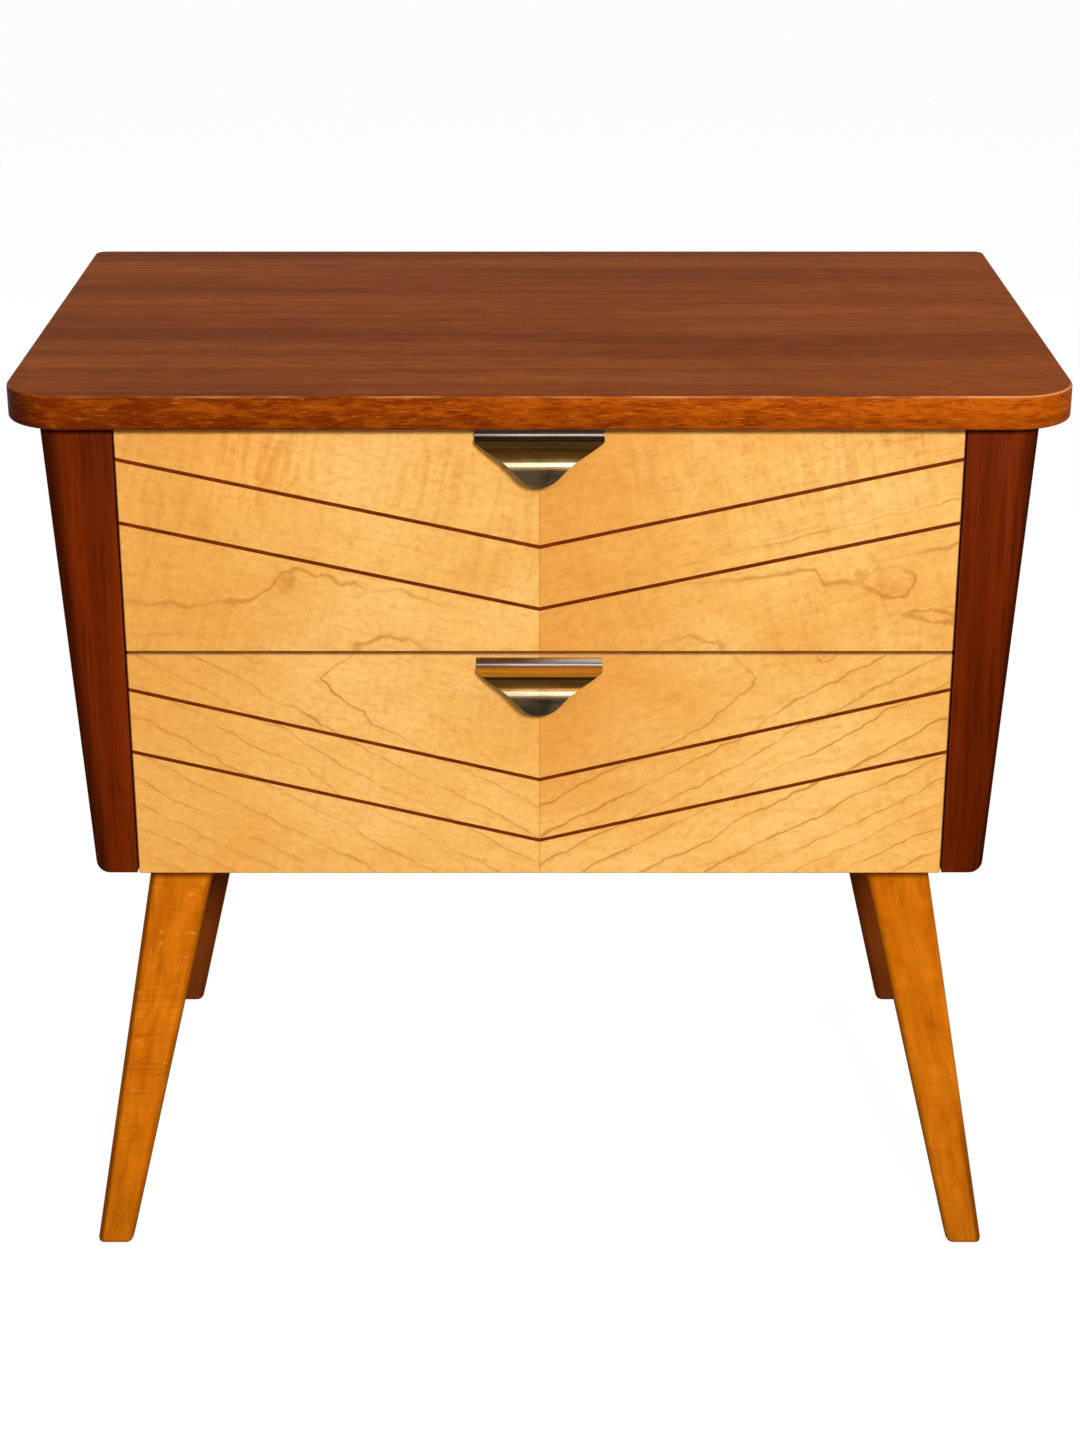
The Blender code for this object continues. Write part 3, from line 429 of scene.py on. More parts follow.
def upper_growth(f, out, z, right, wander, ragged):
    """Growth lines of the upper drawer: one long wandering line, two fine ones, loops and spots."""
    left = f.calc("SUBTRACT", 1.0, right)
    flat_end = f.times(f.calc("MAXIMUM", f.plus(out, -0.175), 0.0), UPPER_GRAIN_RISE)
    fall = f.times(left, f.plus(f.rise(out, 0.138, 0.176, 0.0, 0.030), flat_end))
    dip = f.times(right, f.times(f.rise(out, 0.159, 0.166), f.rise(out, 0.194, 0.187, 0.0, 0.0122)))
    level_off = f.times(f.plus(f.calc("MINIMUM", out, 0.195), -0.1225), f.times(right, 0.123))
    level = f.calc("SUBTRACT", z, f.times(out, UPPER_GRAIN_RISE))
    level = f.plus(f.plus(level, f.times(wander, 0.013)), fall)
    level = f.plus(level, f.times(ragged, f.plus(0.003, f.times(left, 0.006))))
    breadth = f.plus(0.0021, f.times(dip, 0.10))
    long_level = f.plus(level, f.plus(dip, level_off))
    long_line = f.rise(f.calc("ABSOLUTE", f.plus(long_level, -LONG_LINE)), breadth, 0.0002)
    long_line = f.times(long_line, f.rise(out, 0.03, 0.09))
    fine_low = f.rise(f.calc("ABSOLUTE", f.plus(level, -LONG_LINE - 0.0172)), 0.0009, 0.0001)
    fine_high = f.rise(f.calc("ABSOLUTE", f.plus(level, -LONG_LINE - 0.0208)), 0.0008, 0.0001)
    fine = f.times(f.plus(fine_low, f.times(fine_high, 0.5)), right)
    fine = f.times(fine, f.rise(out, 0.06, 0.11, 0.2, 0.8))
    along = f.plus(out, f.times(ragged, 0.022))
    crooked = f.plus(z, f.plus(f.times(wander, 0.008), f.times(ragged, -0.015)))
    eye = f.times(growth_loop(f, along, crooked, *EYE), right)
    pupil = f.times(swell(f, along, crooked, *PUPIL), f.times(right, 0.32))
    lens = f.times(growth_loop(f, out, crooked, *LENS), right)
    arch = growth_loop(f, out, crooked, *ARCH)
    knot = f.times(swell(f, along, crooked, *KNOT), f.times(left, 0.85))
    smudge = f.times(swell(f, out, z, *SMUDGE), f.times(left, 0.50))
    lines = long_line
    for mark in (fine, eye, pupil, lens, arch, knot, smudge):
        lines = f.calc("MAXIMUM", lines, mark)
    return lines


def maple_finish():
    """Book-matched maple veneer on the drawer faces, plain maple on their edges and backs."""
    f = Finish("golden_maple")
    x, _, z = f.axes(f.place)
    out = f.calc("ABSOLUTE", x)
    upper = f.calc("GREATER_THAN", z, DRAWER_GAP_LEVEL)
    right = f.calc("GREATER_THAN", x, 0.0)
    leaf = f.vector(f.plus(out, f.times(z, GRAIN_SLOPE)), f.times(right, 0.4),
                    f.calc("SUBTRACT", z, f.times(out, GRAIN_SLOPE)))

    wander = f.plus(f.noise(leaf, (24.0, 1.0, 34.0), (2.4, 0.0, 0.9), detail=3.0, roughness=0.55), -0.5)
    ragged = f.plus(f.noise(leaf, (85.0, 1.0, 70.0), (0.0, 0.0, 1.7), detail=2.0), -0.5)
    lower_lines = f.times(lower_growth(f, out, z, wander, ragged), f.plus(0.55, f.times(right, 0.28)))
    upper_lines = f.times(upper_growth(f, out, z, right, wander, ragged), 0.72)
    growth = f.plus(f.times(upper, upper_lines), f.times(f.calc("SUBTRACT", 1.0, upper), lower_lines))
    faded = f.rise(f.noise(leaf, (19.0, 1.0, 26.0), (1.0, 0.0, 4.0), detail=1.0), 0.32, 0.62, 0.30, 1.0)

    fibre = f.noise(leaf, (48.0, 1.0, 250.0), detail=4.0, roughness=0.68, distortion=0.3)
    hatch = f.noise(leaf, (210.0, 1.0, 300.0), (0.0, 0.0, 2.0), detail=3.0, roughness=0.65, distortion=0.4)
    curl = f.noise(leaf, (150.0, 1.0, 24.0), (0.0, 0.0, 3.0), detail=2.0, distortion=0.9)
    patchy = f.rise(f.noise(leaf, (7.0, 1.0, 9.0), (5.0, 3.0, 0.0), detail=1.0), 0.36, 0.64, 0.24, 0.95)
    curly = f.times(swell(f, x, z, *CURLY_PATCH), 2.2)
    cloud = f.noise(f.place, (11.0, 1.0, 17.0), (3.7, 0.0, 0.0), detail=3.0, roughness=0.6)

    veneer = f.blend(f.rise(cloud, 0.28, 0.74), MAPLE_DEEP, MAPLE_PALE)
    seam_side = f.times(f.rise(out, 0.13, 0.0), f.times(right, 0.75))
    seam_side = f.times(seam_side, f.rise(z, 0.270, 0.320, 0.10, 1.0))
    veneer = f.blend(seam_side, veneer, MAPLE_SEAM)
    veneer = f.blend(f.times(swell(f, x, z, *PALE_PATCH), 0.50), veneer, MAPLE_PALE)
    veneer = f.blend(f.times(f.rise(x, -0.09, -0.21), 0.55), veneer, MAPLE_END)
    strength = f.times(f.calc("MAXIMUM", patchy, curly), f.plus(0.12, f.times(upper, 0.20)))
    shade = f.times(f.rise(curl, 0.58, 0.32), strength)
    shade = f.plus(shade, f.times(f.rise(fibre, 0.56, 0.26), 0.28))
    shade = f.plus(shade, f.times(f.rise(hatch, 0.56, 0.28), 0.26))
    veneer = f.blend(shade, veneer, MAPLE_SHADE)
    veneer = f.blend(f.times(f.times(growth, faded), 0.72), veneer, stain(184, 104, 30))
    veneer = f.brighten(veneer, f.rise(hatch, 0.50, 0.75, 1.0, 1.09))
    veneer = f.brighten(veneer, f.rise(z, 0.27, 0.42, 1.07, 1.02))
    veneer = f.brighten(veneer, f.rise(curly, 0.0, 2.2, 1.0, 1.08))
    seam = f.rise(out, 0.0006, 0.0001)
    veneer = f.blend(f.times(seam, 0.40), veneer, stain(170, 100, 36))

    plain = f.blend(f.rise(fibre, 0.3, 0.7), stain(172, 114, 58), stain(194, 134, 74))
    facing = f.normal()[1]
    colour = f.blend(f.rise(facing, -0.60, -0.95), plain, veneer)
    f.relief(f.plus(fibre, f.times(hatch, 0.4)), 0.04, 0.0003)
    return f.surface(colour, f.rise(cloud, 0.2, 0.8, 0.42, 0.50), specular=0.05)


def string_finish():
    """Dark string inlay."""
    f = Finish("string_inlay")
    streak = f.noise(f.place, (60.0, 400.0, 700.0), detail=3.0, roughness=0.6)
    colour = f.blend(f.rise(streak, 0.3, 0.7), stain(102, 35, 2), stain(128, 50, 4))
    f.relief(streak, 0.06, 0.0003)
    return f.surface(colour, f.rise(streak, 0.2, 0.8, 0.44, 0.54), specular=0.05)


def leg_finish():
    """Amber stained legs: grain along the leg, faint cross figure, and old nicks on the front left one."""
    f = Finish("amber_leg")
    f.place = f.add("ShaderNodeAttribute", attribute_name="leg_place").outputs["Vector"]
    waver = f.noise(f.place, (30.0, 30.0, 7.0), detail=1.0)
    x, y, z = f.axes(f.place)
    place = f.vector(f.plus(x, f.times(waver, 0.008)), y, z)
    streak = f.noise(place, (190.0, 190.0, 24.0), detail=3.0, roughness=0.65, distortion=0.5)
    pores = f.rise(f.noise(place, (1500.0, 1500.0, 70.0), detail=1.0), 0.58, 0.74)
    cross = f.noise(place, (70.0, 70.0, 170.0), (0.0, 3.0, 0.0), detail=3.0, roughness=0.6, distortion=0.6)
    cloud = f.noise(f.place, (60.0, 60.0, 22.0), detail=3.0, distortion=0.6)
    colour = f.blend(f.rise(cloud, 0.28, 0.72), LEG_RUST, LEG_AMBER)
    colour = f.blend(f.times(f.rise(streak, 0.42, 0.74), 0.46), colour, stain(166, 76, 4))
    colour = f.brighten(colour, f.rise(cross, 0.28, 0.72, 0.93, 1.05))
    colour = f.blend(f.times(pores, 0.22), colour, stain(132, 56, 4))
    colour = f.brighten(colour, f.rise(z, 0.008, 0.060, 0.84, 1.0))
    shaded = f.times(f.rise(x, 1.4, 1.6), f.rise(f.normal()[1], 0.5, -0.5))
    colour = f.blend(f.times(shaded, 0.80), colour, stain(105, 41, 21))
    # Painted shade on the rounded arrises, stronger on each leg's outer side.
    right_hand = f.rise(f.calc("MODULO", f.plus(x, 0.5), 2.0), 0.9, 1.1, -1.0, 1.0)
    outward = f.rise(f.times(f.normal()[0], right_hand), -0.1, 0.2, 0.15, 0.65)
    colour = f.blend(f.times(f.arris(), outward), colour, stain(84, 34, 2))
    colour = f.brighten(colour, f.rise(x, 0.4, 0.6, 1.06, 1.0))
    bruise = f.noise(f.place, (120.0, 120.0, 170.0), (0.0, 0.0, 1.3), detail=2.0, roughness=0.7)
    dash = f.noise(f.place, (90.0, 90.0, 420.0), (0.0, 0.0, 5.3), detail=1.0)
    front_left = f.rise(x, 0.5, 0.3)
    nicked = f.times(f.rise(z, 0.165, 0.215), front_left)
    scuff = f.noise(place, (34.0, 34.0, 560.0), (0.0, 7.0, 0.0), detail=2.0, distortion=0.4)
    scuffed = f.times(f.times(f.rise(z, 0.085, 0.115), f.rise(z, 0.185, 0.155)), front_left)
    colour = f.blend(f.times(f.times(f.rise(scuff, 0.55, 0.68), scuffed), 0.32), colour, stain(140, 62, 4))
    nick = f.calc("MAXIMUM", f.times(f.rise(bruise, 0.622, 0.67), nicked),
                 f.times(f.rise(dash, 0.715, 0.750), front_left))
    colour = f.blend(f.times(nick, 0.60), colour, stain(238, 160, 66))
    f.relief(f.plus(f.times(nick, -1.2), f.plus(f.times(pores, -0.6), f.times(streak, 0.4))), 0.10, 0.0005)
    return f.surface(colour, f.rise(cloud, 0.2, 0.8, 0.46, 0.56), specular=0.0)


def beech_finish():
    """Waxed beech with its small dark flecks, grain from front to back."""
    f = Finish("plain_beech")
    grain = f.noise(f.place, (240.0, 8.0, 240.0), detail=3.0, roughness=0.6)
    fleck = f.rise(f.noise(f.place, (900.0, 190.0, 900.0), detail=1.0), 0.62, 0.74)
    cloud = f.noise(f.place, (14.0, 5.0, 14.0), detail=2.0)
    colour = f.blend(f.rise(cloud, 0.3, 0.7), stain(196, 148, 98), stain(216, 172, 122))
    colour = f.blend(f.times(f.rise(grain, 0.40, 0.70), 0.40), colour, stain(176, 126, 80))
    colour = f.blend(f.times(fleck, 0.60), colour, stain(140, 92, 54))
    f.relief(f.plus(grain, f.times(fleck, -0.8)), 0.10, 0.0004)
    return f.surface(colour, f.rise(cloud, 0.2, 0.8, 0.50, 0.62), specular=0.25)


def poplar_finish():
    """Sanded drawer stock, grain along each board's length."""
    f = Finish("plain_poplar")
    x, y, z = f.axes(f.place)
    across = f.calc("GREATER_THAN", f.calc("ABSOLUTE", x), 0.2285)
    lengthwise = f.plus(f.times(across, y), f.times(f.calc("SUBTRACT", 1.0, across), x))
    sideways = f.plus(f.times(across, x), f.times(f.calc("SUBTRACT", 1.0, across), y))
    board = f.vector(lengthwise, sideways, z)
    grain = f.noise(board, (6.0, 220.0, 220.0), detail=3.0, roughness=0.6)
    ring = f.noise(board, (2.2, 30.0, 30.0), (0.0, 4.0, 0.0), detail=2.0)
    fine = f.noise(board, (40.0, 1200.0, 1200.0), detail=1.0)
    colour = f.blend(f.rise(ring, 0.30, 0.70), stain(204, 172, 122), stain(226, 200, 154))
    colour = f.blend(f.times(f.rise(grain, 0.42, 0.70), 0.40), colour, stain(182, 146, 94))
    colour = f.brighten(colour, f.rise(fine, 0.3, 0.7, 0.95, 1.04))
    f.relief(f.plus(grain, f.times(fine, 0.6)), 0.12, 0.0004)
    return f.surface(colour, f.rise(grain, 0.2, 0.8, 0.58, 0.70), specular=0.22)


def plywood_finish():
    """Plain plywood: a face leaf with grain from side to side, and layered edges."""
    f = Finish("plywood")
    x, y, z = f.axes(f.place)
    drift = f.noise(f.place, (2.0, 7.0, 7.0), detail=1.5)
    leaf = f.vector(x, f.plus(y, f.times(drift, 0.05)), f.plus(z, f.times(drift, 0.05)))
    arch = f.noise(leaf, (2.6, 40.0, 40.0), detail=3.0, roughness=0.6)
    fibre = f.noise(leaf, (26.0, 620.0, 620.0), detail=3.0, roughness=0.65)
    bent = f.plus(f.times(drift, 0.16), f.times(arch, 0.05))
    ring = f.calc("FRACT", f.times(f.plus(f.plus(y, z), bent), 62.0))
    colour = f.blend(f.rise(arch, 0.32, 0.70), stain(194, 152, 102), stain(212, 174, 122))
    colour = f.blend(f.times(f.rise(ring, 0.55, 1.0), 0.30), colour, stain(160, 114, 66))
    colour = f.brighten(colour, f.rise(fibre, 0.25, 0.75, 0.90, 1.06))
    normal = f.normal()
    flat = f.calc("MAXIMUM", f.calc("ABSOLUTE", normal[1]), f.calc("ABSOLUTE", normal[2]))
    layer = f.calc("SINE", f.times(f.plus(y, z), 2 * math.pi / 0.0026))
    edge = f.blend(f.rise(layer, -0.3, 0.3), stain(150, 104, 62), stain(206, 164, 112))
    colour = f.blend(f.rise(flat, 0.85, 0.60), colour, edge)
    f.relief(fibre, 0.12, 0.0004)
    return f.surface(colour, f.rise(arch, 0.2, 0.8, 0.56, 0.68), specular=0.22)


def brass_finish():
    """Antiqued cast brass: dark patina with painted shade in the groove line and at the point, rubbed bright
    on the bead and the swell, which also hold painted highlights, and painted reflections and shade on the
    roofs and ledges.
    """
    f = Finish("antique_brass")
    x, _, z = f.axes(f.place)
    upper = f.calc("GREATER_THAN", z, DRAWER_GAP_LEVEL)
    depth = f.calc("SUBTRACT", f.plus(LOWER_PULL_TOP, f.times(upper, PULL_SPACING)), z)
    cloud = f.noise(f.place, (60.0, 60.0, 60.0), detail=3.0, roughness=0.6)
    brushed = f.noise(f.place, (30.0, 900.0, 900.0), detail=2.0)
    speck = f.rise(f.noise(f.place, (700.0, 700.0, 700.0), detail=1.0), 0.62, 0.74)
    uneven = f.plus(depth, f.times(f.plus(cloud, -0.5), 0.0012))

    lower = f.calc("SUBTRACT", 1.0, upper)
    # Ledge: painted shade on the upper pull, a painted reflection of the wood on the lower one, and a painted
    # highlight towards the lower one's right end.
    painted_highlight_end = f.times(f.rise(x, -0.016, 0.034), lower)
    ledge = f.blend(lower, stain(48, 42, 36), stain(84, 54, 28))
    colour = f.blend(painted_highlight_end, ledge, stain(176, 164, 154))
    # Bead: rubbed bright and a painted highlight, with painted shade towards its left end.
    bead = f.blend(f.rise(x, -0.004, -0.036, 0.0, 0.55), BRASS_BEAD, stain(92, 78, 70))
    colour = f.blend(f.rise(depth, *BEAD_START), colour, bead)
    # Roof: a painted reflection of the maple front above on the lower pull, painted shade under the top's
    # overhang on the upper one.
    roof = f.blend(upper, BRASS_ROOF_PAINTED_REFLECTION, BRASS_SHADED_ROOF)
    colour = f.blend(f.rise(depth, *ROOF_START), colour, roof)
    colour = f.blend(f.rise(uneven, *FACE_START), colour, BRASS_FACE)
    # Painted shade line: under the bead on the upper pull, below the roof on the lower one.
    shade_line_depth = f.plus(depth, f.times(lower, -0.0036))
    groove_shade = f.times(f.rise(shade_line_depth, *ROOF_START), f.rise(shade_line_depth, 0.0066, 0.0062))
    colour = f.blend(f.times(groove_shade, 0.85), colour, stain(24, 18, 12))
    # Band across the swell: rubbed bright, and a painted highlight.
    burnish_and_highlight = f.times(f.rise(uneven, *SWELL_START), f.rise(uneven, *SWELL_END))
    colour = f.blend(burnish_and_highlight, colour, BRASS_BURNISH_AND_HIGHLIGHT)
    # Point: dark patina with painted shade.
    point = f.blend(f.rise(cloud, 0.42, 0.64), BRASS_POINT_PATINA_AND_SHADE, stain(78, 62, 40))
    colour = f.blend(f.rise(uneven, *POINT_START), colour, point)
    colour = f.blend(f.times(speck, 0.35), colour, stain(44, 36, 24))
    colour = f.brighten(colour, f.rise(brushed, 0.3, 0.7, 0.86, 1.12))
    f.relief(brushed, 0.03, 0.0002)
    on_bead = f.times(f.rise(depth, 0.0022, 0.0026), f.rise(depth, 0.0053, 0.0049))
    on_roof = f.times(f.rise(depth, 0.0050, 0.0054), f.rise(depth, 0.0094, 0.0088))
    sheen = f.plus(f.rise(cloud, 0.2, 0.8, 0.19, 0.26), f.times(on_bead, 0.30))
    # Less metal on the lower pull's roof, so that its painted reflection shows.
    bare = f.plus(0.80, f.times(f.times(on_roof, lower), -0.30))
    return f.surface(colour, sheen, metallic=bare)


def steel_finish():
    """Plain screw steel with turning marks and a little tarnish."""
    f = Finish("screw_steel")
    cloud = f.noise(f.place, (300.0, 300.0, 300.0), detail=3.0)
    colour = f.blend(f.rise(cloud, 0.35, 0.65), stain(112, 108, 100), stain(176, 173, 166))
    f.relief(cloud, 0.06, 0.0002)
    return f.surface(colour, f.rise(cloud, 0.3, 0.7, 0.30, 0.46), metallic=1.0)


FINISHES = {
    "top_wood": top_finish(),
    "side_wood": side_finish(),
    "maple": maple_finish(),
    "string_wood": string_finish(),
    "leg_wood": leg_finish(),
    "beech": beech_finish(),
    "poplar": poplar_finish(),
    "plywood": plywood_finish(),
    "brass": brass_finish(),
    "steel": steel_finish(),
}


def show(name, mesh, nodes):
    """A finished piece that stands for these nodes of the frame and rides on their body."""
    mesh.shade_smooth()
    mesh.set_sharp_from_angle(angle=SMOOTH_ANGLE)
    mesh.materials.clear()
    mesh.materials.append(FINISHES[SLOT_OF[nodes[0]]])
    piece = bpy.data.objects.new(name, mesh)
    bpy.context.scene.collection.objects.link(piece)
    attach(piece, BODY_OF[nodes[0]])
    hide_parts(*nodes)
    return piece


def merged_copy(node):
    """The node's solid with its loose triangles joined and its flat faces whole again."""
    shape = bmesh.new()
    shape.from_mesh(NODES[node].data)
    bmesh.ops.remove_doubles(shape, verts=shape.verts, dist=JOIN_DISTANCE)
    bmesh.ops.dissolve_limit(shape, angle_limit=FLAT_ANGLE, verts=shape.verts, edges=shape.edges)
    return shape


def as_mesh(name, shape):
    """The shape as a mesh of that name."""
    mesh = bpy.data.meshes.new(name)
    shape.to_mesh(mesh)
    shape.free()
    return mesh


def corner(centre_x, centre_y, radius, start):
    """Quarter round of an outline, anticlockwise from the start angle."""
    angles = [start + math.pi / 2 * step / TOP_CORNER_STEPS for step in range(TOP_CORNER_STEPS + 1)]
    return [(centre_x + radius * math.cos(a), centre_y + radius * math.sin(a)) for a in angles]


def make_top():
    """The top with truly round corners and a soft arris."""
    low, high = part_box("top_panel")
    half = high.x
    outline = corner(-half + FRONT_CORNER, low.y + FRONT_CORNER, FRONT_CORNER, math.pi)
    outline += corner(half - FRONT_CORNER, low.y + FRONT_CORNER, FRONT_CORNER, 1.5 * math.pi)
    outline += corner(half - REAR_CORNER, high.y - REAR_CORNER, REAR_CORNER, 0.0)
    outline += corner(-half + REAR_CORNER, high.y - REAR_CORNER, REAR_CORNER, 0.5 * math.pi)
    shape = bmesh.new()
    under = shape.faces.new([shape.verts.new((x, y, low.z)) for x, y in outline])
    raised = bmesh.ops.extrude_face_region(shape, geom=[under])["geom"]
    upper_corners = [part for part in raised if isinstance(part, bmesh.types.BMVert)]
    bmesh.ops.translate(shape, vec=Vector((0, 0, high.z - low.z)), verts=upper_corners)
    bmesh.ops.recalc_face_normals(shape, faces=shape.faces)
    rims = [edge for edge in shape.edges if abs(edge.verts[0].co.z - edge.verts[1].co.z) < LEVEL_TOLERANCE]
    bmesh.ops.bevel(shape, geom=rims, offset=TOP_ARRIS, segments=TOP_ARRIS_STEPS, profile=0.5, affect="EDGES")
    show("top", as_mesh("top", shape), ["top_panel"])


def make_sides():
    """The sides with smooth rounds."""
    for hand in ("left", "right"):
        node = f"{hand}_side_panel"
        show(f"{hand}_side", as_mesh(f"{hand}_side", merged_copy(node)), [node])


def make_legs():
    """Legs with a record of each point's place in the straight leg, for grain that follows the splay."""
    for number, place in enumerate(("front_left", "front_right", "rear_left", "rear_right")):
        node = f"{place}_leg"
        mesh = as_mesh(f"{place}_leg_turned_out", merged_copy(node))
        foot = [vert.co for vert in mesh.vertices if vert.co.z < LEG_FOOT_LEVEL]
        head = [vert.co for vert in mesh.vertices if vert.co.z > LEG_HEAD_LEVEL]
        foot_middle = sum((Vector(co) for co in foot), Vector()) / len(foot)
        head_middle = sum((Vector(co) for co in head), Vector()) / len(head)
        axis = (head_middle - foot_middle) / (head_middle.z - foot_middle.z)
        along = mesh.attributes.new("leg_place", "FLOAT_VECTOR", "POINT")
        for vert, row in zip(mesh.vertices, along.data):
            local = vert.co - foot_middle - axis * (vert.co.z - foot_middle.z)
            row.vector = (local.x + number, local.y, vert.co.z)
        show(f"{place}_leg_turned_out", mesh, [node])


def make_pulls():
    """Cast pulls with lightly broken edges, shaded by their broad faces."""
    for drawer in ("upper", "lower"):
        node = f"{drawer}_pull"
        name = f"{drawer}_cast_pull"
        shape = merged_copy(node)
        sharp = [edge for edge in shape.edges if edge.is_manifold and edge.calc_face_angle() > SMOOTH_ANGLE]
        bmesh.ops.bevel(shape, geom=sharp, offset=PULL_ARRIS, segments=PULL_ARRIS_STEPS, profile=0.5,
                        affect="EDGES", clamp_overlap=True)
        pull = show(name, as_mesh(name, shape), [node])
        pull.modifiers.new("broad_faces", "WEIGHTED_NORMAL").keep_sharp = True


def fastener_tree():
    """Node tree that sets a head on each point, turned to the point's outward direction."""
    tree = bpy.data.node_groups.new("fastener_heads", "GeometryNodeTree")
    tree.interface.new_socket("Points", in_out="INPUT", socket_type="NodeSocketGeometry")
    for label in ("Head Radius", "Head Height"):
        tree.interface.new_socket(label, in_out="INPUT", socket_type="NodeSocketFloat")
    tree.interface.new_socket("Slotted", in_out="INPUT", socket_type="NodeSocketBool")
    tree.interface.new_socket("Finish", in_out="INPUT", socket_type="NodeSocketMaterial")
    tree.interface.new_socket("Heads", in_out="OUTPUT", socket_type="NodeSocketGeometry")

    def add(kind, links=(), **settings):
        made = tree.nodes.new(kind)
        for label, value in settings.items():
            setattr(made, label, value)
        for label, value in links:
            feed(tree, made.inputs[label], value)
        return made

    def share(part, whole):
        return combine(tree, "MULTIPLY", whole, part)

    given = add("NodeGroupInput").outputs
    radius, height = given["Head Radius"], given["Head Height"]
    rim = share(HEAD_RIM, radius)
    head = add("GeometryNodeMeshCone", [("Vertices", HEAD_SIDES), ("Depth", height), ("Radius Top", rim),
                                        ("Radius Bottom", radius)]).outputs["Mesh"]
    slot_size = add("ShaderNodeCombineXYZ", [("X", share(SLOT_LENGTH, radius)),
                                             ("Y", share(SLOT_WIDTH, radius)), ("Z", height)]).outputs[0]
    slot_place = add("ShaderNodeCombineXYZ", [("Z", height)]).outputs[0]
    cutter = add("GeometryNodeMeshCube", [("Size", slot_size)]).outputs["Mesh"]
    cutter = add("GeometryNodeTransform", [("Geometry", cutter), ("Translation", slot_place)]).outputs[0]
    cut = add("GeometryNodeMeshBoolean", [("Mesh 1", head), ("Mesh 2", cutter)],
              operation="DIFFERENCE").outputs[0]
    chosen = add("GeometryNodeSwitch", [("Switch", given["Slotted"]), ("False", head), ("True", cut)],
                 input_type="GEOMETRY").outputs[0]
    outward = add("GeometryNodeInputNamedAttribute", [("Name", "outward")],
                  data_type="FLOAT_VECTOR").outputs[0]
    facing = add("FunctionNodeAlignRotationToVector", [("Vector", outward)], axis="Z").outputs[0]
    turn = add("FunctionNodeRandomValue", [(2, 0.0), (3, math.pi), ("Seed", SLOT_SEED)], data_type="FLOAT")
    spin = add("FunctionNodeAxisAngleToRotation", [("Axis", (0.0, 0.0, 1.0)),
                                                   ("Angle", turn.outputs[1])]).outputs[0]
    turned = add("FunctionNodeRotateRotation", [("Rotation", facing), ("Rotate By", spin)],
                 rotation_space="LOCAL").outputs[0]
    heads = add("GeometryNodeInstanceOnPoints", [("Points", given["Points"]), ("Instance", chosen),
                                                 ("Rotation", turned)]).outputs[0]
    solid = add("GeometryNodeRealizeInstances", [("Geometry", heads)]).outputs[0]
    finished = add("GeometryNodeSetMaterial", [("Geometry", solid), ("Material", given["Finish"])]).outputs[0]
    add("NodeGroupOutput", [("Heads", finished)])
    return tree


def fasten(name, body, tree, places, outward, head, slotted):
    """A row of heads on one body: places are where the heads' undersides sit, outward is where they face."""
    mesh = bpy.data.meshes.new(name)
    mesh.from_pydata(places, [], [])
    directions = mesh.attributes.new("outward", "FLOAT_VECTOR", "POINT")
    for row, direction in zip(directions.data, outward):
        row.vector = direction
    holder = bpy.data.objects.new(name, mesh)
    bpy.context.scene.collection.objects.link(holder)
    rule = holder.modifiers.new("heads", "NODES")
    rule.node_group = tree
    wanted = {"Head Radius": head[0], "Head Height": head[1], "Slotted": slotted, "Finish": FINISHES["steel"]}
    for item in tree.interface.items_tree:
        if item.in_out == "INPUT" and item.name in wanted:
            rule[item.identifier] = wanted[item.name]
    seen = holder.evaluated_get(bpy.context.evaluated_depsgraph_get())
    made = bpy.data.meshes.new_from_object(seen)
    holder.modifiers.remove(rule)
    holder.data = made
    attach(holder, body)


def spread(low, high, count):
    """Evenly spaced values from low to high."""
    return [low + (high - low) * step / (count - 1) for step in range(count)]


